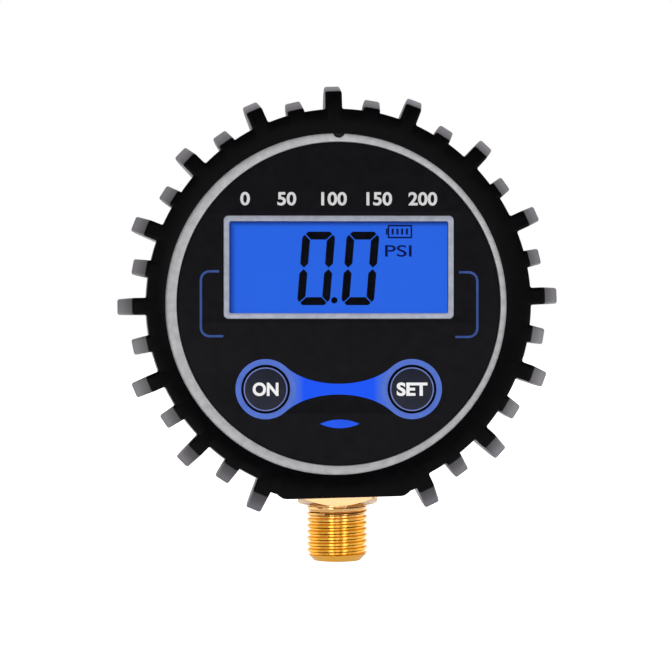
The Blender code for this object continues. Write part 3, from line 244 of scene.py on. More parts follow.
def join_rings(drawn, loops, ring=False):
    """Adds the walls between neighbouring loops of points, and returns the rows of points."""
    rows = [[drawn.verts.new(point) for point in loop] for loop in loops]
    pairs = list(zip(rows, rows[1:]))
    if ring:
        pairs.append((rows[-1], rows[0]))
    for row, following in pairs:
        for k in range(len(row)):
            n = (k + 1) % len(row)
            drawn.faces.new((row[k], row[n], following[n], following[k]))
    return rows


def skin(name, loops, ring=True):
    """A mesh drawn through loops of points: the last meets the first, or else both ends are closed."""
    drawn = bmesh.new()
    rows = join_rings(drawn, loops, ring)
    if not ring:
        drawn.faces.new(rows[0])
        drawn.faces.new(rows[-1])
    return finished(name, drawn)


def finished(name, drawn, merge=0.0):
    """Turns a bmesh into an object with clean outward faces, shaded round up to a crease angle."""
    if merge:
        bmesh.ops.remove_doubles(drawn, verts=drawn.verts, dist=merge)
        bmesh.ops.dissolve_degenerate(drawn, edges=drawn.edges, dist=merge)
    bmesh.ops.recalc_face_normals(drawn, faces=drawn.faces)
    mesh = bpy.data.meshes.new(name)
    drawn.to_mesh(mesh)
    drawn.free()
    mesh.shade_smooth()
    mesh.set_sharp_from_angle(angle=CREASE)
    return add_object(name, mesh)


def stand(obj, matrix=dial):
    """Moves a piece drawn in the dial's own frame to its place in the world."""
    obj.data.transform(matrix)
    return obj


def polar(radius, angle, middle=(0, 0)):
    return (middle[0] + radius * math.cos(angle), middle[1] + radius * math.sin(angle))


def arc_points(middle, radius, start, end, count):
    """Points on an arc about a middle, from a start angle to an end angle in degrees."""
    return [polar(radius, math.radians(start + (end - start) * k / count), middle) for k in range(count + 1)]


def tooth_points(middle, half, tip, body, edge, root):
    """One tooth's outline from root to root, about a middle angle clockwise from the top."""
    foot = math.sqrt(body * body - half * half)
    edge = min(edge, EDGE_LIMIT * (tip - foot))
    root = min(root, ROOT_LIMIT * (tip - foot))
    reach = half + root
    rise = math.sqrt((body + root) ** 2 - reach * reach)
    lean = math.degrees(math.atan2(rise, reach))
    side = arc_points((reach, rise), root, 180 + lean, 180, ROOT_STEPS)
    side += arc_points((half - edge, tip - edge), edge, 0, 90, QUARTER_STEPS)
    points = [(-t, r) for t, r in side]
    points += reversed(side)
    cos, sin = math.cos(middle), math.sin(middle)
    return [(r * sin + t * cos, r * cos - t * sin) for t, r in points]


def boot_outline(depth, inset):
    """The boot's outer outline at a depth along the dial's axis, drawn in by a rim's rounding."""
    from_rim = min(BOOT_FRONT - depth, depth - BOOT_REAR)
    share = min(1.0, from_rim / TOOTH_SLOPE)
    front_share = 1 - share if depth > 0 else 0.0
    body = BOOT_RIM + (BOOT_MIDDLE - BOOT_RIM) * share - inset
    features = []
    for count, rim, tooth_crown, pull in (TALL_TEETH, LOW_TEETH):
        for k in range(count):
            middle = TOOTH_PITCH * (k - (count - 1) / 2)
            leaning_crown = tooth_crown - CROWN_LEAN * math.cos(middle)
            tip = rim + (leaning_crown - rim) * share + front_share * pulled(pull, middle) - inset
            features.append((middle, tip))
    features.sort()
    half = (TOOTH_WIDTH + (CROWN_WIDTH - TOOTH_WIDTH) * share) / 2 - inset
    runs = []
    for middle, tip in features:
        root_radius = body + front_share * pulled(BODY_PULL, middle)
        runs.append(tooth_points(middle, half, tip, root_radius, TOOTH_EDGE, TOOTH_ROOT))
    shoe = tooth_points(math.pi, SHOE_HALF - inset, SHOE_DROP - inset, body, SHOE_CORNER, SHOE_ROOT)
    middle_gap = len(shoe) // 2
    ends = shoe[middle_gap - 1:middle_gap + 1]
    flat = [blended(*ends, k / SHOE_STEPS) for k in range(1, SHOE_STEPS)]
    shoe = shoe[:middle_gap] + flat + shoe[middle_gap:]
    past_shoe = depth < BOOT_FRONT - SHOE_LENGTH
    if past_shoe:
        shoe = [(x, y) for x, y, level in round_loop(shoe, body, depth)]
    runs.append(shoe)
    outline = []
    for run, following in zip(runs, runs[1:] + runs[:1]):
        outline += run
        outline += arc_between(run[-1], following[0], BODY_STEPS)
    if not past_shoe:
        outline = [gap_filled(point, inset) for point in outline]
    return outline


def gap_filled(point, inset):
    """Lifts a point in the narrow gap beside the shoe to the floor of that gap."""
    angle = abs(math.atan2(point[0], -point[1]))
    lift = (SHOE_GAP_FLOOR - inset) / math.hypot(*point)
    if SHOE_GAP[0] < angle < SHOE_GAP[1] and lift > 1:
        return (point[0] * lift, point[1] * lift)
    return point


def pulled(pull, angle):
    """How far the boot's stretched front is pulled out at an angle: most at the top, and in at the bottom."""
    rise = math.cos(angle)
    return pull * (rise ** 3 if rise > 0 else rise * PULL_BELOW)


def blended(a, b, share):
    return (a[0] + (b[0] - a[0]) * share, a[1] + (b[1] - a[1]) * share)


def arc_between(a, b, count):
    """Points on the boot's round body between two roots, clockwise."""
    first = math.atan2(a[0], a[1])
    sweep = (math.atan2(b[0], b[1]) - first) % (2 * math.pi)
    points = []
    for k in range(1, count + 1):
        share = k / (count + 1)
        radius = math.hypot(*a) * (1 - share) + math.hypot(*b) * share
        points.append((radius * math.sin(first + sweep * share), radius * math.cos(first + sweep * share)))
    return points


def round_loop(outline, radius, depth, shift=(0.0, 0.0)):
    """A circle with one point for each point of the outline, in the same directions."""
    loop = []
    for x, y in outline:
        scale = radius / math.hypot(x, y)
        loop.append((x * scale + shift[0], y * scale + shift[1], depth))
    return loop


def boot_loops():
    rounding = [math.radians(90) * k / QUARTER_STEPS for k in range(QUARTER_STEPS + 1)]
    quarter = [(1 - math.sin(a), 1 - math.cos(a)) for a in rounding]
    shoe_end = BOOT_FRONT - SHOE_LENGTH
    depths = [(BOOT_FRONT - RIM_EDGE * down, RIM_EDGE * across) for across, down in quarter]
    depths += [(BOOT_FRONT - TOOTH_SLOPE / 2, 0), (BOOT_FRONT - TOOTH_SLOPE, 0)]
    depths += [(0, 0), (BOOT_REAR + TOOTH_SLOPE, 0)]
    depths += [(shoe_end + TOOTH_EDGE, 0), (shoe_end - TOOTH_EDGE, 0)]
    depths += [(BOOT_REAR + RIM_EDGE * down, RIM_EDGE * across) for across, down in reversed(quarter)]
    depths.sort(reverse=True)
    loops = [[(x, y, depth) for x, y in boot_outline(depth, inset)] for depth, inset in depths]
    front = boot_outline(BOOT_FRONT, RIM_EDGE)
    inside = [(BOOT_RIM - REAR_RIM_WIDTH, BOOT_REAR)]
    inside += [(REAR_LIP + RIM_EDGE * across, BOOT_REAR + RIM_EDGE * down) for across, down in quarter]
    inside += [(REAR_LIP, CAVITY_REAR), (BOOT_CAVITY, CAVITY_REAR), (BOOT_CAVITY, CAVITY_FRONT)]
    inside += [(LIP_RELIEF, CAVITY_FRONT), (LIP_RELIEF, LIP_UNDERSIDE)]
    loops += [round_loop(front, radius, depth) for radius, depth in inside]
    lip = [(LIP_RADIUS, LIP_UNDERSIDE)]
    lip += [(LIP_RADIUS + LIP_EDGE * across, LIP_TOP - LIP_EDGE * down) for across, down in reversed(quarter)]
    loops += [round_loop(front, radius, depth, LIP_SHIFT) for radius, depth in lip]
    loops.append(round_loop(front, LIP_SLOPE_START, BOOT_FRONT))
    return loops


def box_outline(left, right, low, high):
    return [(left, low), (right, low), (right, high), (left, high)]


def prism(name, outline, low, high):
    """A straight block on a flat outline, between two levels."""
    return skin(name, [[(x, y, level) for x, y in outline] for level in (low, high)], ring=False)


def carve(obj, cutter):
    """Cuts a piece with a helper and removes the helper."""
    cutting = obj.modifiers.new("cut", "BOOLEAN")
    cutting.solver = "EXACT"
    cutting.object = cutter
    graph = bpy.context.evaluated_depsgraph_get()
    mesh = bpy.data.meshes.new_from_object(obj.evaluated_get(graph))
    obj.modifiers.clear()
    obj.data = mesh
    mesh.set_sharp_from_angle(angle=CREASE)
    bpy.data.objects.remove(cutter)
    return obj


def moulded(name, dark, light, roughness, grain=0.0002, bump=0.000004, metallic=0.0, specular=0.5):
    """A finish whose colour and gloss drift a little, under a fine grain of that size in metres."""
    finish, tree, shader = new_material(name)
    place = add_node(tree, "TexCoord").outputs["Object"]
    drift = add_node(tree, "TexNoise", {"Vector": place, "Scale": DRIFT_SHARE / grain, "Detail": 6})
    fine = add_node(tree, "TexNoise", {"Vector": place, "Scale": 1 / grain, "Detail": 3}).outputs["Fac"]
    tones = add_node(tree, "ValToRGB", {"Fac": drift.outputs["Fac"]})
    for stop, position, tone in zip(tones.color_ramp.elements, DRIFT_STOPS, (dark, light)):
        stop.position = position
        stop.color = (*tone, 1)
    gloss = add_node(tree, "MapRange", {"Value": fine, "To Min": roughness[0], "To Max": roughness[1]})
    relief = add_node(tree, "Bump", {"Strength": 0.6, "Distance": bump, "Height": fine})
    feed(tree, shader, {
        "Metallic": metallic,
        "Specular IOR Level": specular,
        "Base Color": tones.outputs["Color"],
        "Roughness": gloss.outputs["Result"],
        "Normal": relief.outputs["Normal"],
    })
    return finish


def fit(obj, finish, body, slot, *replaced):
    """Gives a new piece its finish, its body and the solids that it stands for. The slot argument is not used.
    """
    obj.data.materials.clear()
    obj.data.materials.append(finish)
    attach(obj, body)
    if replaced:
        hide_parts(*replaced)
    return obj


boot_tones = ((0.0008, 0.0006, 0.0009), (0.0018, 0.0014, 0.0019))
boot_rubber = moulded("boot_rubber", *boot_tones, (0.30, 0.42), 0.00012, 0.000009, specular=0.07)
boot_sheen = {"Sheen Weight": 0.12, "Sheen Roughness": 0.3, "Sheen Tint": (0.85, 0.62, 1.0, 1)}
feed(boot_rubber.node_tree, boot_rubber.node_tree.nodes["Principled BSDF"], boot_sheen)
boot = stand(skin("boot_skin", boot_loops()), dial @ Matrix.Rotation(BOOT_TWIST, 4, "Z"))
hole_outline = box_outline(-STEM_HOLE, STEM_HOLE, -STEM_HOLE, STEM_HOLE)
carve(boot, prism("stem_hole", hole_outline, STEM_HOLE_FOOT, DIAL_MIDDLE / 2))
fit(boot, boot_rubber, "gauge", "rubber", "rubber_boot")

# Case halves: two black cups moulded in plastic, screwed together with a rubber gasket between their rims.
# Only the rear half's back shows, inside the boot's rear lip, with the sunk heads of its four screws.
# Each screw is a zinc-plated pan head with a crossed slot, whose thread cuts its own way into the plastic.
CASE_SCREW_SHANK = 0.0010
CASE_SCREW_HEAD = 0.0014
SCREW_PITCH = 0.0008
SCREW_CUT = 0.00022
SCREW_POINT = 0.0003
SCREW_FORM = ((0.0, 1.0), (0.10, 1.0), (0.30, 0.0), (0.85, 0.0))
SCREW_STEPS = 32
SPARE_TURNS = 2
THREAD_MERGE = 0.0000008
SLOT_ARM = 0.62
SLOT_HALF = 0.15
SLOT_DEPTH = 0.62
SLOT_TAPER = 0.6
SLOT_OVERCUT = 0.0001
PAN_WALL = 0.3
PAN_FLAT = 0.55
PAN_STEPS = 5


def dress(finish, *names):
    """Gives a finish to solids that are shown as they are."""
    for name in names:
        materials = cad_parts[name].data.materials
        materials.clear()
        materials.append(finish)


def dial_place(name):
    """The middle of a solid in the dial's own frame: to the right and up."""
    low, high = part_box(name)
    return ((low.x + high.x) / 2, (low.z + high.z) / 2 - DIAL_MIDDLE)


def disc(radius, steps, at=(0, 0)):
    return [polar(radius, 2 * math.pi * k / steps, at) for k in range(steps)]


def ring_loop(radius, depth, steps, at=(0, 0)):
    return [(x, y, depth) for x, y in disc(radius, steps, at)]


def wound_thread(drawn, form, pitch, low, high, steps, radius_at):
    """Adds a right-hand thread wound up an axis, with its radius given for a height and a crest."""
    rows = []
    for turn in range(math.ceil((high - low) / pitch) + 2 * SPARE_TURNS):
        for share, crest in form:
            row = []
            for k in range(steps):
                height = low + pitch * (turn + share + k / steps - SPARE_TURNS)
                height = min(max(height, low), high)
                side = polar(radius_at(height, crest), 2 * math.pi * k / steps)
                row.append(drawn.verts.new((*side, height)))
            rows.append(row)
    for m in range(len(rows) - len(form) - 1):
        for k in range(steps - 1):
            drawn.faces.new((rows[m][k], rows[m][k + 1], rows[m + 1][k + 1], rows[m + 1][k]))
        next_turn = m + len(form)
        drawn.faces.new((rows[m][-1], rows[next_turn][0], rows[next_turn + 1][0], rows[m + 1][-1]))


def cross_outline(arm, half):
    points = []
    corner = [(arm, -half), (arm, half), (half, half)]
    for quarter in range(4):
        points += corner
        corner = [(-y, x) for x, y in corner]
    return points


def pan_screw(node, shank, head_height, body):
    """A pan-head screw with its thread and its crossed slot, in the place of a plain solid."""
    low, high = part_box(node)
    place = Matrix.Translation((*dial_place(node), 0))
    head = (high.x - low.x) / 2
    tip = -low.y
    top = -high.y
    seat = top + head_height
    core = shank - SCREW_CUT

    def radius_at(height, crest):
        return min(core + crest * SCREW_CUT, SCREW_POINT + tip - height, core + height - seat)

    drawn = bmesh.new()
    wound_thread(drawn, SCREW_FORM, SCREW_PITCH, seat, tip, SCREW_STEPS, radius_at)
    profile = [(core, seat), (head, seat), (head, seat - PAN_WALL * head_height)]
    for k in range(1, PAN_STEPS + 1):
        turn = math.radians(90) * k / PAN_STEPS
        pan_radius = head * (PAN_FLAT + (1 - PAN_FLAT) * math.cos(turn))
        profile.append((pan_radius, seat - head_height * (PAN_WALL + (1 - PAN_WALL) * math.sin(turn))))
    rows = join_rings(drawn, [ring_loop(radius, depth, SCREW_STEPS) for radius, depth in profile])
    drawn.faces.new(rows[-1])
    drawn.faces.new([drawn.verts.new(point) for point in ring_loop(SCREW_POINT, tip, SCREW_STEPS)])
    screw = finished(node + "_turned", drawn, merge=THREAD_MERGE)
    slot_loops = []
    for taper, depth in ((1.0, top - SLOT_OVERCUT), (SLOT_TAPER, top + SLOT_DEPTH * head_height)):
        slot = cross_outline(SLOT_ARM * head * taper, SLOT_HALF * head * taper)
        slot_loops.append([(x, y, depth) for x, y in slot])
    carve(screw, skin(node + "_slot", slot_loops, ring=False))
    fit(stand(screw, dial @ place), bright_zinc, body, "screw_steel", node)


case_tones = ((0.010, 0.010, 0.011), (0.018, 0.018, 0.020))
case_plastic = moulded("case_plastic", *case_tones, (0.45, 0.6), 0.00018, 0.00001)
seal_tones = ((0.012, 0.012, 0.012), (0.025, 0.024, 0.024))
seal_rubber = moulded("seal_rubber", *seal_tones, (0.6, 0.75), 0.0001, 0.000005)
zinc_tones = ((0.45, 0.46, 0.48), (0.62, 0.63, 0.65))
bright_zinc = moulded("bright_zinc", *zinc_tones, (0.22, 0.38), 0.00015, 0.000003, metallic=1.0)
dress(case_plastic, "front_case", "rear_case")
dress(seal_rubber, "case_gasket")
for end in ("upper_left", "upper_right", "lower_left", "lower_right"):
    pan_screw("case_screw_" + end, CASE_SCREW_SHANK, CASE_SCREW_HEAD, "gauge")

# Bezel ring: a flat metal ring painted satin silver, pressed on the front case round the overlay.
# Its outer edge is chamfered under the boot's lip, and a notch at the top marks its place.
bezel_low, bezel_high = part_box("bezel_ring")
BEZEL_BACK = -bezel_high.y
BEZEL_FRONT = -bezel_low.y
BEZEL_OUTER = bezel_high.x
BEZEL_INNER = 0.02585
BEZEL_FLAT = 0.0274
BEZEL_CHAMFER = 0.0278
BEZEL_FALL = 0.0001
BEZEL_STEP = 0.01395
BEZEL_EDGE = 0.00012
BEZEL_STEPS = 192
NOTCH_WIDTH = 0.0020
NOTCH_BOTTOM = 0.02645
NOTCH_OVERCUT = 0.0005
NOTCH_STEPS = 12
EDGE_BREAK = 0.3
SATIN = ((0.36, 0.52), 0.00009, 0.000010)
SATIN_METAL = 0.35
SILVER_TONES = ((0.39, 0.385, 0.40), (0.51, 0.505, 0.52))


def lathe(name, profile, steps, at=(0, 0), ring=True):
    """A turned piece, from its profile of (radius, depth) points."""
    return skin(name, [ring_loop(radius, depth, steps, at) for radius, depth in profile], ring)


bezel_profile = [
    (BEZEL_INNER, BEZEL_BACK),
    (BEZEL_INNER, BEZEL_FRONT - BEZEL_EDGE),
    (BEZEL_INNER + BEZEL_EDGE * EDGE_BREAK, BEZEL_FRONT - BEZEL_EDGE * EDGE_BREAK),
    (BEZEL_INNER + BEZEL_EDGE, BEZEL_FRONT),
    (BEZEL_FLAT - BEZEL_EDGE, BEZEL_FRONT),
    (BEZEL_FLAT, BEZEL_FRONT - BEZEL_EDGE * EDGE_BREAK),
    (BEZEL_CHAMFER, BEZEL_FRONT - BEZEL_FALL),
    (BEZEL_CHAMFER, BEZEL_STEP),
    (BEZEL_OUTER, BEZEL_STEP),
    (BEZEL_OUTER, BEZEL_BACK),
]
silver_paint = moulded("silver_paint", *SILVER_TONES, *SATIN, metallic=SATIN_METAL)
bezel = lathe("bezel", bezel_profile, BEZEL_STEPS)
notch_half = NOTCH_WIDTH / 2
notch_middle = (0, NOTCH_BOTTOM + notch_half)
notch_outline = arc_points(notch_middle, notch_half, 180, 360, NOTCH_STEPS)
notch_top = BEZEL_OUTER + 2 * NOTCH_OVERCUT
notch_outline += [(notch_half, notch_top), (-notch_half, notch_top)]
carve(bezel, prism("bezel_notch", notch_outline, BEZEL_BACK - NOTCH_OVERCUT, BEZEL_FRONT + NOTCH_OVERCUT))
fit(stand(bezel), silver_paint, "gauge", "silver_paint", "bezel_ring")

# Face overlay: a charcoal film stuck to the front case, cut out for the display frame and the buttons.
# Its marks are printed on it: brackets, button rings, a waist and a lens in blues, and plain grey numbers.
FRAME_MIDDLE = dial_place("display_frame")[1]
OVERLAY_BACK = -overlay_high.y
OVERLAY_FRONT = -overlay_low.y
OVERLAY_RADIUS = overlay_high.x
OVERLAY_EDGE = 0.00004
OVERLAY_STEPS = 192
HOLE_STEPS = 64
RING_STEPS = 72
CORNER_STEPS = 8
WAIST_STEPS = 16
TEXT_SCALE = 1.4
CURVE_MERGE = 0.0000005
FRAME_OPENING = (0.0370, 0.01676, 0.0008)
BUTTON_HOLE = 0.00385
BUTTON_PLACES = {name: dial_place(name) for name in ("on_button", "set_button")}
INK = 0.00002
RING_INNER = 0.0039
RING_OUTER = 0.0048
WAIST_ANGLE = math.radians(48.3)
WAIST_HALF = 0.00086
WAIST_PULL = (0.0030, 0.0030)
WAIST_PALING = (0.0040, 0.0082)
BRACKET_LINE = 0.00037
BRACKET_CORNER = 0.0014
BRACKETS = ((-0.02198, 0.00518, -0.01907, -0.00515, -0.0184), (0.02212, 0.00505, 0.0192, -0.00528, 0.0186))
LENS_MIDDLE = (0.00014, -0.01914)
LENS_SIZE = (0.00628, 0.00138)
NUMBERS = "0     50    100   150   200"
NUMBERS_BOX = (-0.0157, 0.0157, 0.01568, 0.01784)
NUMBERS_WEIGHT = 0.00008
FILM_TONES = ((0.0046, 0.0044, 0.0060), (0.0066, 0.0064, 0.0082))


def rounded_box(width, height, corner, at=(0, 0)):
    points = []
    for quarter, (sx, sy) in enumerate(((1, 1), (-1, 1), (-1, -1), (1, -1))):
        middle = (at[0] + sx * (width / 2 - corner), at[1] + sy * (height / 2 - corner))
        points += arc_points(middle, corner, 90 * quarter, 90 * quarter + 90, CORNER_STEPS)
    return points


def add_line(curve, points):
    """Adds a line of straight stretches between points to a curve."""
    line = curve.splines.new("POLY")
    line.points.add(len(points) - 1)
    for spot, point in zip(line.points, points):
        spot.co = (*point, 1)
    return line


def sheet_piece(name, outlines, back, front, edge=0.0):
    """A flat piece of the dial. Outlines inside others are holes, and edge rounds both rims."""
    curve = bpy.data.curves.new(name, "CURVE")
    curve.dimensions = "2D"
    curve.fill_mode = "BOTH"
    curve.extrude = (front - back) / 2 - edge
    curve.bevel_depth = edge
    curve.bevel_resolution = 2
    curve.offset = -edge
    for outline in outlines:
        add_line(curve, [(x, y, 0) for x, y in outline]).use_cyclic_u = True
    return from_curve(name, curve, (front + back) / 2)


def from_curve(name, curve, depth):
    """Turns a flat curve or a text into a mesh at a depth in the dial's frame."""
    drawn = add_object(name + "_line", curve)
    graph = bpy.context.evaluated_depsgraph_get()
    mesh = bpy.data.meshes.new_from_object(drawn.evaluated_get(graph))
    bpy.data.objects.remove(drawn)
    built = bmesh.new()
    built.from_mesh(mesh)
    bpy.data.meshes.remove(mesh)
    bmesh.ops.translate(built, verts=built.verts, vec=(0, 0, depth))
    return finished(name, built, merge=CURVE_MERGE)


def lettering(name, words, box, depth, weight):
    """Plain words that fill a box of (left, right, low, high), with strokes thickened by weight."""
    text = bpy.data.curves.new(name, "FONT")
    text.body = words
    text.size = TEXT_SCALE * (box[3] - box[2])
    text.offset = weight
    text.extrude = INK / 2
    obj = from_curve(name, text, depth + INK / 2)
    for axis in (0, 1):
        start, end = box[2 * axis:2 * axis + 2]
        values = [vert.co[axis] for vert in obj.data.vertices]
        low, span = min(values), max(values) - min(values)
        for vert in obj.data.vertices:
            vert.co[axis] = start + (vert.co[axis] - low) / span * (end - start)
    return obj


def curve_points(a, b, c, d, count):
    """Points on a Bezier stretch from a to d, drawn towards b and c."""
    points = []
    for k in range(count + 1):
        s = k / count
        weights = ((1 - s) ** 3, 3 * s * (1 - s) ** 2, 3 * s * s * (1 - s), s ** 3)
        points.append(tuple(sum(w * p[axis] for w, p in zip(weights, (a, b, c, d))) for axis in (0, 1)))
    return points


def waist_outline():
    """The waist between the button rings: two hollow curves that leave each ring along its own line."""
    right = BUTTON_PLACES["set_button"]
    touch = (right[0] - RING_OUTER * math.cos(WAIST_ANGLE), right[1] + RING_OUTER * math.sin(WAIST_ANGLE))
    pull_x = WAIST_PULL[0] * math.sin(WAIST_ANGLE)
    pull_y = WAIST_PULL[0] * math.cos(WAIST_ANGLE)
    along = (touch[0] - pull_x, touch[1] - pull_y)
    level = right[1] + WAIST_HALF
    upper = curve_points((0, level), (WAIST_PULL[1], level), along, touch, WAIST_STEPS)
    turn = math.degrees(WAIST_ANGLE)
    end = arc_points(right, RING_OUTER, 180 - turn, 180 + turn, WAIST_STEPS)[1:-1]
    half = upper + end + [(x, 2 * right[1] - y) for x, y in reversed(upper)]
    return half + [(-x, y) for x, y in reversed(half[1:-1])]


def bracket_outline(side, top, top_end, low, low_end):
    """A bracket drawn as one line with two rounded corners."""
    inward = 1 if top_end > side else -1
    corners = arc_points((BRACKET_CORNER, top - BRACKET_CORNER), BRACKET_CORNER, 90, 180, CORNER_STEPS)
    corners += arc_points((BRACKET_CORNER, low + BRACKET_CORNER), BRACKET_CORNER, 180, 270, CORNER_STEPS)
    spine = [(top_end, top)] + [(side + inward * x, y) for x, y in corners] + [(low_end, low)]
    return stroke(spine, BRACKET_LINE / 2)


def stroke(spine, half):
    """The outline of a line of even width along a spine of points."""
    left = []
    right = []
    for k, point in enumerate(spine):
        before = spine[max(k - 1, 0)]
        after = spine[min(k + 1, len(spine) - 1)]
        length = math.hypot(after[0] - before[0], after[1] - before[1])
        across = ((before[1] - after[1]) / length * half, (after[0] - before[0]) / length * half)
        left.append((point[0] + across[0], point[1] + across[1]))
        right.append((point[0] - across[0], point[1] - across[1]))
    return left + right[::-1]


def lens_outline():
    half_length = LENS_SIZE[0] / 2
    half_height = LENS_SIZE[1] / 2
    radius = (half_length ** 2 + half_height ** 2) / (2 * half_height)
    span = math.degrees(math.asin(half_length / radius))
    upper = arc_points((0, half_height - radius), radius, 90 + span, 90 - span, WAIST_STEPS)
    points = upper + [(x, -y) for x, y in reversed(upper[1:-1])]
    return [(x + LENS_MIDDLE[0], y + LENS_MIDDLE[1]) for x, y in points]


def ink(name, dark, light, specular=0.5, bump=0.000002):
    """A printed colour, a little uneven and half matt."""
    return moulded(name, dark, light, (0.4, 0.5), 0.00012, bump, specular=specular)


def print_on(name, outlines, depth, finish, slot):
    """A thin print on a flat face of the dial."""
    fit(stand(sheet_piece(name, outlines, depth, depth + INK)), finish, "gauge", slot)


def part_of(finish, kind):
    return next(node for node in finish.node_tree.nodes if node.type == kind)


overlay_film = moulded("overlay_film", *FILM_TONES, (0.34, 0.42), 0.00012, 0.000003, specular=0.06)
waist_ink = ink("waist_ink", (0.008, 0.078, 0.80), (0.052, 0.130, 0.62), 0.1)
waist_tree = waist_ink.node_tree
from_middle = add_node(waist_tree, "Math", {0: place_axes(waist_tree).outputs["X"]}, operation="ABSOLUTE")
waist_paling = eased(waist_tree, from_middle.outputs["Value"], WAIST_PALING)
feed(waist_tree, part_of(waist_ink, "VALTORGB"), {"Fac": waist_paling})
overlay_outlines = [disc(OVERLAY_RADIUS, OVERLAY_STEPS), rounded_box(*FRAME_OPENING, (0, FRAME_MIDDLE))]
overlay_outlines += [disc(BUTTON_HOLE, HOLE_STEPS, at) for at in BUTTON_PLACES.values()]
overlay = sheet_piece("overlay", overlay_outlines, OVERLAY_BACK, OVERLAY_FRONT, OVERLAY_EDGE)
fit(stand(overlay), overlay_film, "gauge", "overlay_film", "face_overlay")
ring_outlines = []
for at in BUTTON_PLACES.values():
    ring_outlines += [disc(radius, RING_STEPS, at) for radius in (RING_OUTER, RING_INNER)]
bracket_outlines = [bracket_outline(*bracket) for bracket in BRACKETS]
PRINTS = {
    "button_rings": (ink("ring_ink", (0.068, 0.135, 0.49), (0.084, 0.158, 0.56), 0.15), ring_outlines),
    "waist_print": (waist_ink, [waist_outline()]),
    "lens_print": (ink("lens_ink", (0.012, 0.078, 0.68), (0.015, 0.090, 0.77), 0.1), [lens_outline()]),
    "bracket_print": (ink("bracket_ink", (0.028, 0.060, 0.21), (0.036, 0.074, 0.26), 0.15), bracket_outlines),
}
for print_name, (print_ink, outlines) in PRINTS.items():
    print_on(print_name, outlines, OVERLAY_FRONT, print_ink, "overlay_film")
numbers = lettering("range_numbers", NUMBERS, NUMBERS_BOX, OVERLAY_FRONT, NUMBERS_WEIGHT)
grey_ink = ink("grey_ink", (0.50, 0.50, 0.50), (0.60, 0.60, 0.60))
fit(stand(numbers), grey_ink, "gauge", "overlay_film")

# Display: a silver frame and a clear window in the face, and behind them a blue backlit glass in its holder.
# The glass's segments are dark shapes on it: two noughts, a point, a battery sign and the unit.
frame_low, frame_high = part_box("display_frame")
DISPLAY_VIEW = (0.0349, 0.01466, 0.0003)
FRAME_CORNER = 0.00075
FRAME_EDGE = 0.00018
LCD_FRONT = -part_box("lcd_glass")[0].y
DIGIT_HALF_WIDTH = 0.00262
DIGIT_HALF_HEIGHT = 0.00589
DIGIT_MIDDLES = (-0.00359, 0.00350)
DIGIT_LEVEL = 0.00571
DIGIT_SLANT = 0.082
SEGMENT = 0.00127
SEGMENT_GAP = 0.00012
SEGMENT_SOFT = 0.3
SEGMENT_CORNER = ((1.0, 1.0), (0.25, 1.7), (0.0, 2.6))
POINT_PLACE = (-0.00068, 0.00060)
POINT_RADIUS = 0.00051
POINT_STEPS = 24
BATTERY_SIGN = (0.00789, 0.01182, 0.01054, 0.01270)
SIGN_LINE = 0.00026
SIGN_NUB = (0.0003, 0.00002, 0.0005)
SIGN_BARS = 4
SIGN_BAR_START = 0.00062
SIGN_BAR_STEP = 0.00076
SIGN_BAR = (0.00035, 0.00048)
UNIT_BOX = (0.00746, 0.01174, 0.00758, 0.00946)
UNIT_WEIGHT = 0.00002
LCD_INK_BUMP = 0.000001
FRAME_TONES = ((0.33, 0.35, 0.43), (0.44, 0.465, 0.55))
HAZE_SCALE = 900
HAZE = 0.03
LCD_BASE = (0.005, 0.015, 0.1)
LCD_BLUE = (0.0180, 0.122, 0.740)
# LCD_SHADE and the two spans after it give a painted shadow of the frame on the glass's top and left edges.
LCD_SHADE = (0.005, 0.026, 0.20)
LCD_TOP_SHADE = (0.0001, -0.0009)
LCD_LEFT_SHADE = (-0.0002, 0.0012)


def digit_segments():
    """The six outer segments of an upright nought about its middle: mitred ends, rounded outside corners."""
    w, h, t, gap = DIGIT_HALF_WIDTH, DIGIT_HALF_HEIGHT, SEGMENT, SEGMENT_GAP
    soft = t * SEGMENT_SOFT
    top = [(w - 2 * soft - gap, h), (w - soft - gap, h - soft), (w - t - gap, h - t)]
    top = [(-x, y) for x, y in top[1::-1]] + top + [(t + gap - w, h - t)]
    side = [(-w, t / 2 + gap), (-w + t / 2, gap), (-w + t, t / 2 + gap), (-w + t, h - t - gap)]
    side += [(-w + across * soft, h - down * soft - gap) for across, down in SEGMENT_CORNER]
    segments = [top, [(x, -y) for x, y in top]]
    for sx in (1, -1):
        for sy in (1, -1):
            segments.append([(sx * x, sy * y) for x, y in side])
    return segments


segment_outlines = []
for middle in DIGIT_MIDDLES:
    for segment in digit_segments():
        segment_outlines.append([(middle + x + DIGIT_SLANT * y, DIGIT_LEVEL + y) for x, y in segment])
segment_outlines.append(disc(POINT_RADIUS, POINT_STEPS, POINT_PLACE))
sign_left, sign_right, sign_low, sign_high = BATTERY_SIGN
sign_middle = (sign_low + sign_high) / 2
sign_outlines = [box_outline(*BATTERY_SIGN)]
sign_inside = (sign_left + SIGN_LINE, sign_right - SIGN_LINE, sign_low + SIGN_LINE, sign_high - SIGN_LINE)
sign_outlines.append(box_outline(*sign_inside))
nub_start, nub_end, nub_half = SIGN_NUB
nub_sides = (sign_left - nub_start, sign_left - nub_end)
sign_outlines.append(box_outline(*nub_sides, sign_middle - nub_half, sign_middle + nub_half))
bar_width, bar_half = SIGN_BAR
for k in range(SIGN_BARS):
    bar_left = sign_left + SIGN_BAR_START + k * SIGN_BAR_STEP
    bar_sides = (bar_left, bar_left + bar_width)
    sign_outlines.append(box_outline(*bar_sides, sign_middle - bar_half, sign_middle + bar_half))

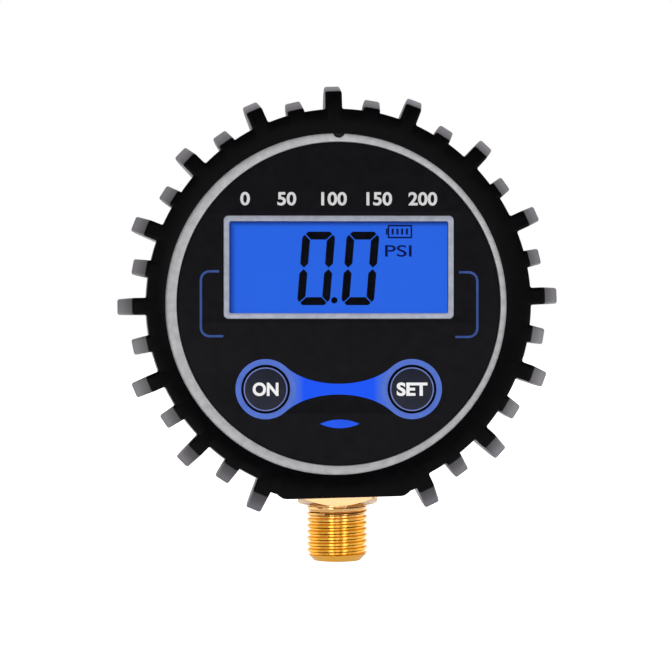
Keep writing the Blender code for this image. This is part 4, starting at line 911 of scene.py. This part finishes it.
segment_ink = ink("segment_ink", (0.0002, 0.0003, 0.004), (0.0005, 0.0006, 0.006), 0.05, LCD_INK_BUMP)
sign_ink = ink("sign_ink", (0.003, 0.009, 0.11), (0.004, 0.012, 0.14), 0.05, LCD_INK_BUMP)
print_on("display_digits", segment_outlines, LCD_FRONT, segment_ink, "lcd")
print_on("battery_sign", sign_outlines, LCD_FRONT, sign_ink, "lcd")
unit = lettering("unit_letters", "PSI", UNIT_BOX, LCD_FRONT, UNIT_WEIGHT)
fit(stand(unit), sign_ink, "gauge", "lcd")

frame_paint = moulded("frame_paint", *FRAME_TONES, *SATIN, metallic=SATIN_METAL)
rim = rounded_box(frame_high.x - frame_low.x, frame_high.z - frame_low.z, FRAME_CORNER, (0, FRAME_MIDDLE))
opening = rounded_box(*DISPLAY_VIEW, (0, FRAME_MIDDLE))
display_rim = sheet_piece("display_rim", [rim, opening], -frame_high.y, -frame_low.y, FRAME_EDGE)
fit(stand(display_rim), frame_paint, "gauge", "silver_paint", "display_frame")

clear_plastic, clear_tree, clear_shader = new_material("clear_plastic")
haze = add_node(clear_tree, "TexNoise", {"Scale": HAZE_SCALE}).outputs["Fac"]
clearness = add_node(clear_tree, "MapRange", {"Value": haze, "To Max": HAZE})
feed(clear_tree, clear_shader, {
    "Base Color": (1, 1, 1, 1),
    "Transmission Weight": 1.0,
    "IOR": 1.40,
    "Roughness": clearness.outputs["Result"],
})
dress(clear_plastic, "display_window")

lit_glass, lit_tree, lit_shader = new_material("lit_glass")
lit_axes = place_axes(lit_tree).outputs
# Painted shadow: the glass's glow is darkened along its top and left edges, where the frame would shade it.
view_top = DIAL_MIDDLE + FRAME_MIDDLE + DISPLAY_VIEW[1] / 2
painted_top_shadow = eased(lit_tree, lit_axes["Z"], [view_top + shade for shade in LCD_TOP_SHADE])
painted_left_shadow = eased(lit_tree, lit_axes["X"], [shade - DISPLAY_VIEW[0] / 2 for shade in LCD_LEFT_SHADE])
glow = add_node(lit_tree, "ValToRGB", {"Fac": math_node(lit_tree, "MINIMUM", painted_top_shadow, painted_left_shadow)})
glow.color_ramp.elements[0].color = (*LCD_SHADE, 1)
glow.color_ramp.elements[1].color = (*LCD_BLUE, 1)
feed(lit_tree, lit_shader, {
    "Base Color": (*LCD_BASE, 1),
    "Roughness": 0.25,
    "Specular IOR Level": 0.1,
    "Emission Color": glow.outputs["Color"],
    "Emission Strength": 1.0,
})
dress(lit_glass, "lcd_glass")
dress(moulded("light_guide", (0.25, 0.40, 0.85), (0.32, 0.48, 0.92), (0.2, 0.3)), "lcd_backlight")
holder_tones = ((0.72, 0.72, 0.70), (0.80, 0.80, 0.78))
holder_plastic = moulded("holder_plastic", *holder_tones, (0.45, 0.55), 0.0002, 0.000006)
strip_rubber = moulded("strip_rubber", (0.50, 0.28, 0.28), (0.65, 0.40, 0.40), (0.6, 0.7), 0.0001)
dress(holder_plastic, "lcd_holder")
dress(strip_rubber, "upper_contact_strip", "lower_contact_strip")

# Buttons: two crowned black caps that rise through the overlay, each with a thin printed ring and a word.
# Each cap is one moulding with a flange behind the face, and presses on the plunger of a small switch.
cap_low, cap_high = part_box("on_button")
CAP_TOP = -cap_low.y
CAP_BACK = -cap_high.y
CAP_CROWN = 0.00015
CAP_RADIUS = 0.00358
CAP_EDGE = 0.0002
CAP_STEPS = 96
CROWN_RINGS = (0.0003, 0.0009, 0.0017, 0.0025)
FLANGE_RADIUS = cap_high.x - BUTTON_PLACES["on_button"][0]
FLANGE_FRONT = 0.0118
FLANGE_BACK = 0.0111
POST_RADIUS = 0.0016
CAP_RING = (0.00330, 0.00348)
CAP_TONES = ((0.0085, 0.0105, 0.0210), (0.0125, 0.0150, 0.0290))
WORD_WEIGHT = 0.00011
WORDS = {"on_button": ("ON", 0.00205, 0.00108), "set_button": ("SET", 0.00245, 0.00108)}


def crown(radius):
    """The depth of the cap's crowned front at a distance from its middle."""
    return CAP_TOP - CAP_CROWN * (radius / (CAP_RADIUS - CAP_EDGE)) ** 2


cap_profile = [(radius, crown(radius)) for radius in (*CROWN_RINGS, CAP_RADIUS - CAP_EDGE)]
edge_middle = (CAP_RADIUS - CAP_EDGE, CAP_TOP - CAP_CROWN - CAP_EDGE)
cap_profile += arc_points(edge_middle, CAP_EDGE, 90, 0, QUARTER_STEPS)[1:]
cap_profile += [(CAP_RADIUS, FLANGE_FRONT), (FLANGE_RADIUS, FLANGE_FRONT), (FLANGE_RADIUS, FLANGE_BACK)]
cap_profile += [(POST_RADIUS, FLANGE_BACK), (POST_RADIUS, CAP_BACK)]
cap_plastic = moulded("cap_plastic", *CAP_TONES, (0.34, 0.42), 0.00012, 0.000003, specular=0.20)
cap_ring_ink = ink("cap_ring_ink", (0.11, 0.15, 0.40), (0.14, 0.19, 0.48))
white_ink = ink("white_ink", (0.72, 0.72, 0.72), (0.80, 0.80, 0.80))
inner, outer = CAP_RING
ring_profile = [(inner, crown(inner) - INK), (inner, crown(inner) + INK)]
ring_profile += [(outer, crown(outer) + INK / 2), (outer, crown(outer) - INK)]
for cap_name, at in BUTTON_PLACES.items():
    cap = lathe(cap_name + "_cap", cap_profile, CAP_STEPS, at, ring=False)
    fit(stand(cap), cap_plastic, cap_name, "button_plastic", cap_name)
    cap_ring = lathe(cap_name + "_ring", ring_profile, CAP_STEPS, at)
    fit(stand(cap_ring), cap_ring_ink, cap_name, "button_plastic")
    word, half_width, half_height = WORDS[cap_name]
    box = (at[0] - half_width, at[0] + half_width, at[1] - half_height, at[1] + half_height)
    letters = lettering(cap_name + "_word", word, box, 0, WORD_WEIGHT)
    for vert in letters.data.vertices:
        vert.co.z += crown(math.hypot(vert.co.x - at[0], vert.co.y - at[1])) - INK / 4
    fit(stand(letters), white_ink, cap_name, "button_plastic")
steel_tones = ((0.40, 0.41, 0.42), (0.55, 0.56, 0.57))
switch_steel = moulded("switch_steel", *steel_tones, (0.3, 0.45), 0.0002, 0.000003, metallic=1.0)
dress(switch_steel, "on_switch", "set_switch")
chip_plastic = moulded("chip_plastic", (0.014, 0.014, 0.015), (0.024, 0.024, 0.026), (0.5, 0.65), 0.0001)
dress(chip_plastic, "on_plunger", "set_plunger")

# Circuit board: a round green board screwed behind the display, with one chip on its back.
# Its solder mask is a thin glossy lacquer over woven glass.
board_tones = ((0.006, 0.085, 0.028), (0.012, 0.135, 0.045))
board_lacquer = moulded("board_lacquer", *board_tones, (0.25, 0.4), 0.0003, 0.000006)
dress(board_lacquer, "circuit_board")
dress(chip_plastic, "main_chip")
dress(bright_zinc, "board_screw_left", "board_screw_right")

# Batteries and contacts: two sleeved cells head to tail between a nickel-plated spring and plate at each end.
# Each cell is a steel can in a shrunk plastic sleeve with a pale band, and each spring is one wound wire.
# A red and a black lead run from the end plates up to the board.
CELL_EDGE = 0.0004
CELL_LIP = 0.0043
CELL_SINK = 0.00015
NUB_RADIUS = 0.0019
NUB_LENGTH = 0.0010
NUB_EDGE = 0.0003
CELL_BAND = (0.70, 0.95)
BAND_PROUD = 0.00002
CELL_STEPS = 64
CELL_RIM_STEPS = 2
SPRING_WIRE = 0.00025
SPRING_RADII = (0.0038, 0.0022)
SPRING_HEIGHTS = (0.00035, 0.00295)
SPRING_TURNS = 3
SPRING_STEPS = 28
CONTACT_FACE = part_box("bridge_contact")[0].x
NICKEL_TONES = ((0.52, 0.50, 0.46), (0.66, 0.64, 0.59))
BAND_TONES = ((0.42, 0.40, 0.36), (0.52, 0.50, 0.45))


def wire(name, points, radius):
    """A round wire along a line of points."""
    curve = bpy.data.curves.new(name, "CURVE")
    curve.dimensions = "3D"
    curve.bevel_depth = radius
    curve.bevel_resolution = 3
    curve.use_fill_caps = True
    add_line(curve, points)
    return from_curve(name, curve, 0)


def spring_line():
    points = []
    count = SPRING_TURNS * SPRING_STEPS
    for k in range(count + 1):
        angle = 2 * math.pi * k / SPRING_STEPS
        radius = SPRING_RADII[0] + (SPRING_RADII[1] - SPRING_RADII[0]) * k / count
        height = SPRING_HEIGHTS[0] + (SPRING_HEIGHTS[1] - SPRING_HEIGHTS[0]) * k / count
        points.append((*polar(radius, angle), height))
    return points


sleeve = moulded("battery_sleeve", (0.02, 0.055, 0.04), (0.032, 0.085, 0.06), (0.28, 0.36), 0.0003, 0.000002)
nickel = moulded("nickel_plate", *NICKEL_TONES, (0.2, 0.35), 0.0002, 0.000003, metallic=1.0)
band_print = moulded("band_print", *BAND_TONES, (0.28, 0.36), 0.0003, 0.000002, metallic=0.6)
for cell, side in (("upper", 1), ("lower", -1)):
    cell_low, cell_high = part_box(cell + "_battery")
    cell_length = cell_high.x - cell_low.x
    shoulder = cell_length - NUB_LENGTH
    cell_radius = (cell_high.z - cell_low.z) / 2
    cell_level = (cell_high.z + cell_low.z) / 2 - DIAL_MIDDLE
    cell_depth = -(cell_high.y + cell_low.y) / 2
    lying = Matrix.Rotation(math.radians(-90 * side), 4, "Y")
    cell_base = cell_high.x if side > 0 else cell_low.x
    in_bay = dial @ Matrix.Translation((cell_base, cell_level, cell_depth)) @ lying
    rim_radius = cell_radius - CELL_EDGE
    sleeve_profile = [(CELL_LIP, 0)]
    sleeve_profile += arc_points((rim_radius, CELL_EDGE), CELL_EDGE, -90, 0, CELL_RIM_STEPS)
    sleeve_profile += arc_points((rim_radius, shoulder - CELL_EDGE), CELL_EDGE, 0, 90, CELL_RIM_STEPS)
    sleeve_profile.append((CELL_LIP, shoulder))
    cell_sleeve = lathe(cell + "_cell_sleeve", sleeve_profile, CELL_STEPS)
    fit(stand(cell_sleeve, in_bay), sleeve, "gauge", "battery_wrap", cell + "_battery")
    can_profile = [(NUB_RADIUS, CELL_SINK), (CELL_LIP, CELL_SINK), (CELL_LIP, shoulder - CELL_SINK)]
    can_profile += [(NUB_RADIUS + NUB_EDGE, shoulder - CELL_SINK), (NUB_RADIUS, shoulder + NUB_EDGE)]
    nub_middle = (NUB_RADIUS - NUB_EDGE, cell_length - NUB_EDGE)
    can_profile += arc_points(nub_middle, NUB_EDGE, 0, 90, CELL_RIM_STEPS)
    cell_can = lathe(cell + "_cell_can", can_profile, CELL_STEPS, ring=False)
    fit(stand(cell_can, in_bay), nickel, "gauge", "contact_nickel")
    band_start, band_end = [share * shoulder for share in CELL_BAND]
    band_outer = cell_radius + BAND_PROUD
    band_profile = [(CELL_LIP, band_start), (band_outer, band_start)]
    band_profile += [(band_outer, band_end), (CELL_LIP, band_end)]
    cell_band = lathe(cell + "_cell_band", band_profile, CELL_STEPS)
    fit(stand(cell_band, in_bay), band_print, "gauge", "battery_wrap")
    on_contact = dial @ Matrix.Translation((side * CONTACT_FACE, cell_level, cell_depth)) @ lying
    spring = wire(cell + "_spring_wire", spring_line(), SPRING_WIRE)
    fit(stand(spring, on_contact), nickel, "gauge", "contact_nickel", cell + "_spring")
dress(nickel, "positive_contact", "negative_contact", "bridge_contact")
dress(moulded("red_sleeve", (0.38, 0.012, 0.012), (0.50, 0.02, 0.02), (0.4, 0.5)), "positive_lead")
dress(moulded("black_sleeve", (0.012, 0.012, 0.012), (0.022, 0.022, 0.022), (0.4, 0.5)), "negative_lead")

# Battery door: a flat plastic lid with two rounded ears, let into the rear case over the cells.
# It is moulded with softened edges, and a small pan-head screw with a crossed slot holds each ear.
DOOR_HEIGHT = 0.0239
DOOR_CORNER = 0.0030
DOOR_EAR = 0.0030
DOOR_EAR_SINK = 0.00002
DOOR_HOLE = 0.00105
DOOR_STEPS = 32
DOOR_EDGE = 0.00025
DOOR_SCREW_SHANK = 0.0009
DOOR_SCREW_HEAD = 0.0008
door_low, door_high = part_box("battery_door")


def door_outline(screw_rise):
    """The lid's right half from its lower ear to its upper one, and the same turned half a turn."""
    x = door_high.x - DOOR_CORNER
    y = DOOR_HEIGHT / 2 - DOOR_CORNER
    dip = math.degrees(math.asin((screw_rise - DOOR_HEIGHT / 2 + DOOR_EAR_SINK) / DOOR_EAR))
    half = arc_points((x, -y), DOOR_CORNER, -90, 0, CORNER_STEPS)
    half += arc_points((x, y), DOOR_CORNER, 0, 90, CORNER_STEPS)
    half += arc_points((0, screw_rise), DOOR_EAR, -dip, 180 + dip, DOOR_STEPS)
    return half + [(-px, -py) for px, py in half]


door_screw_rise = dial_place("door_screw_upper")[1]
door_holes = [disc(DOOR_HOLE, DOOR_STEPS, (0, rise)) for rise in (door_screw_rise, -door_screw_rise)]
door_outlines = [door_outline(door_screw_rise)] + door_holes
door = sheet_piece("door_panel", door_outlines, -door_high.y, -door_low.y, DOOR_EDGE)
fit(stand(door), case_plastic, "battery_door", "case_plastic", "battery_door")
for end in ("upper", "lower"):
    pan_screw("door_screw_" + end, DOOR_SCREW_SHANK, DOOR_SCREW_HEAD, "battery_door")

# Stem: one brass bar, turned and threaded, with a square for the wrench that the shoe surrounds.
# The square's lower corners are turned off at 30 degrees, and the thread is a right-hand one of 1 mm pitch.
# The milled square and the top of the thread are painted a paler brass than the rest: a painted highlight that
# fades down into the thread's colour.
stem_low, stem_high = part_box("stem")
STEM_END = stem_low.z
CUP_TOP = stem_high.z
THREAD_RADIUS = 0.0050
THREAD_PITCH = 0.0010
THREAD_DEPTH = 0.00038
THREAD_FADE = (-0.0016, -0.0005)
THREAD_CHAMFER = 0.0011
NECK_RADIUS = 0.0049
NECK_LENGTH = 0.0003
BORE_RADIUS = 0.0012
SQUARE_HALF = 0.0065
SQUARE_CORNER = 0.0004
SQUARE_TOP = 0.0036
SQUARE_SLOPE = math.tan(math.radians(30))
GROOVE_RADIUS = 0.0050
UPPER_SQUARE = (0.0075, 0.0105)
CUP_RADIUS = 0.0062
POCKET_RADIUS = 0.0050
POCKET_BOTTOM = 0.0121
STEM_STEPS = 128
THREAD_FORM = (
    (0.0, 1.0), (0.32, 1.0), (0.37, 0.88), (0.49, 0.12),
    (0.54, 0.0), (0.78, 0.0), (0.83, 0.12), (0.95, 0.88),
)
SQUARE_INSET = 0.00005
# Painted highlight: the pale colour painted on the square and the thread's top.
SQUARE_HIGHLIGHT_TONE = (0.82, 0.51, 0.26)
BRASS_TONES = ((0.77, 0.37, 0.040), (0.86, 0.44, 0.065))
STEM_HIGHLIGHT_SPAN = (-0.0035, 0.0012)
TOOL_LINES = (0.06, 0.06, 1.6)


def square_radius(angle):
    """The distance from the stem's axis to its square, whose corners are a little rounded."""
    turn = (angle + math.pi / 4) % (math.pi / 2) - math.pi / 4
    flat = SQUARE_HALF / math.cos(turn)
    inner = (SQUARE_HALF - SQUARE_CORNER) * math.sqrt(2)
    off = math.pi / 4 - abs(turn)
    if inner * math.sin(off) >= SQUARE_CORNER:
        return flat
    rounded = inner * math.cos(off) + math.sqrt(SQUARE_CORNER ** 2 - (inner * math.sin(off)) ** 2)
    return min(flat, rounded)


def thread_radius(height, crest):
    """The thread's radius at a height: faded out at its top and cut back by the chamfer at its end."""
    low, high = THREAD_FADE
    share = min(1.0, max(0.0, (high - height) / (high - low)))
    radius = THREAD_RADIUS - (1 - crest) * THREAD_DEPTH * share
    radius = min(radius, THREAD_RADIUS - THREAD_CHAMFER + height - STEM_END)
    return min(radius, NECK_RADIUS - NECK_LENGTH - height)


def squared(height, chamfer=False):
    """A loop round the stem's square, level or along the cone that turns off its lower corners."""
    loop = []
    for k in range(STEM_STEPS):
        angle = 2 * math.pi * k / STEM_STEPS
        radius = square_radius(angle)
        level = (radius - SQUARE_HALF) * SQUARE_SLOPE if chamfer else height
        loop.append((*polar(radius, angle), level))
    return loop


def stem_loops():
    def turned(*profile):
        return [ring_loop(radius, height, STEM_STEPS) for radius, height in profile]

    upper_foot, upper_top = UPPER_SQUARE
    loops = turned((NECK_RADIUS, -NECK_LENGTH), (NECK_RADIUS, 0), (SQUARE_HALF - SQUARE_INSET, 0))
    loops += [squared(0, chamfer=True), squared(SQUARE_TOP)]
    loops += turned((GROOVE_RADIUS, SQUARE_TOP), (GROOVE_RADIUS, upper_foot))
    loops += [squared(upper_foot), squared(upper_top)]
    loops += turned((CUP_RADIUS, upper_top), (CUP_RADIUS, CUP_TOP), (POCKET_RADIUS, CUP_TOP))
    loops += turned((POCKET_RADIUS, POCKET_BOTTOM), (BORE_RADIUS, POCKET_BOTTOM), (BORE_RADIUS, STEM_END))
    return loops + turned((THREAD_RADIUS - THREAD_CHAMFER, STEM_END))


def brass_bar():
    drawn = bmesh.new()
    wound_thread(drawn, THREAD_FORM, THREAD_PITCH, STEM_END, -NECK_LENGTH, STEM_STEPS, thread_radius)
    join_rings(drawn, stem_loops())
    return finished("brass_stem", drawn, merge=THREAD_MERGE)


brass = moulded("turned_brass", *BRASS_TONES, (0.16, 0.23), 0.0002, 0.000001, metallic=1.0)
brass_tree = brass.node_tree
brass_place = part_of(brass, "TEX_COORD").outputs["Object"]
tool_lines = add_node(brass_tree, "Mapping", {"Vector": brass_place, "Scale": TOOL_LINES})
for node in brass_tree.nodes:
    if node.type == "TEX_NOISE":
        feed(brass_tree, node, {"Vector": tool_lines.outputs["Vector"]})
# Painted highlight: the brass is blended towards a paler tone over the stem's upper end and its square.
brass_painted_highlight = eased(brass_tree, place_axes(brass_tree).outputs["Z"], STEM_HIGHLIGHT_SPAN)
brass_tones = part_of(brass, "VALTORGB").outputs["Color"]
brass_sockets = {"Fac": brass_painted_highlight, "Color1": brass_tones, "Color2": (*SQUARE_HIGHLIGHT_TONE, 1)}
brass_highlight_mix = add_node(brass_tree, "MixRGB", brass_sockets)
feed(brass_tree, brass_tree.nodes["Principled BSDF"], {"Base Color": brass_highlight_mix.outputs["Color"]})
fit(brass_bar(), brass, "gauge", "brass", "stem")

# Pressure sensor: a ceramic disc in the stem's cup, sealed by an O-ring and held down by a brass ring nut.
# An amber ribbon carries its signal up to the board.
dress(brass, "sensor_nut")
dress(seal_rubber, "stem_gasket", "sensor_o_ring")
dress(moulded("sensor_ceramic", (0.72, 0.70, 0.66), (0.80, 0.78, 0.74), (0.35, 0.45)), "pressure_sensor")
dress(moulded("amber_film", (0.38, 0.16, 0.03), (0.50, 0.24, 0.05), (0.25, 0.35), 0.0003), "sensor_ribbon")
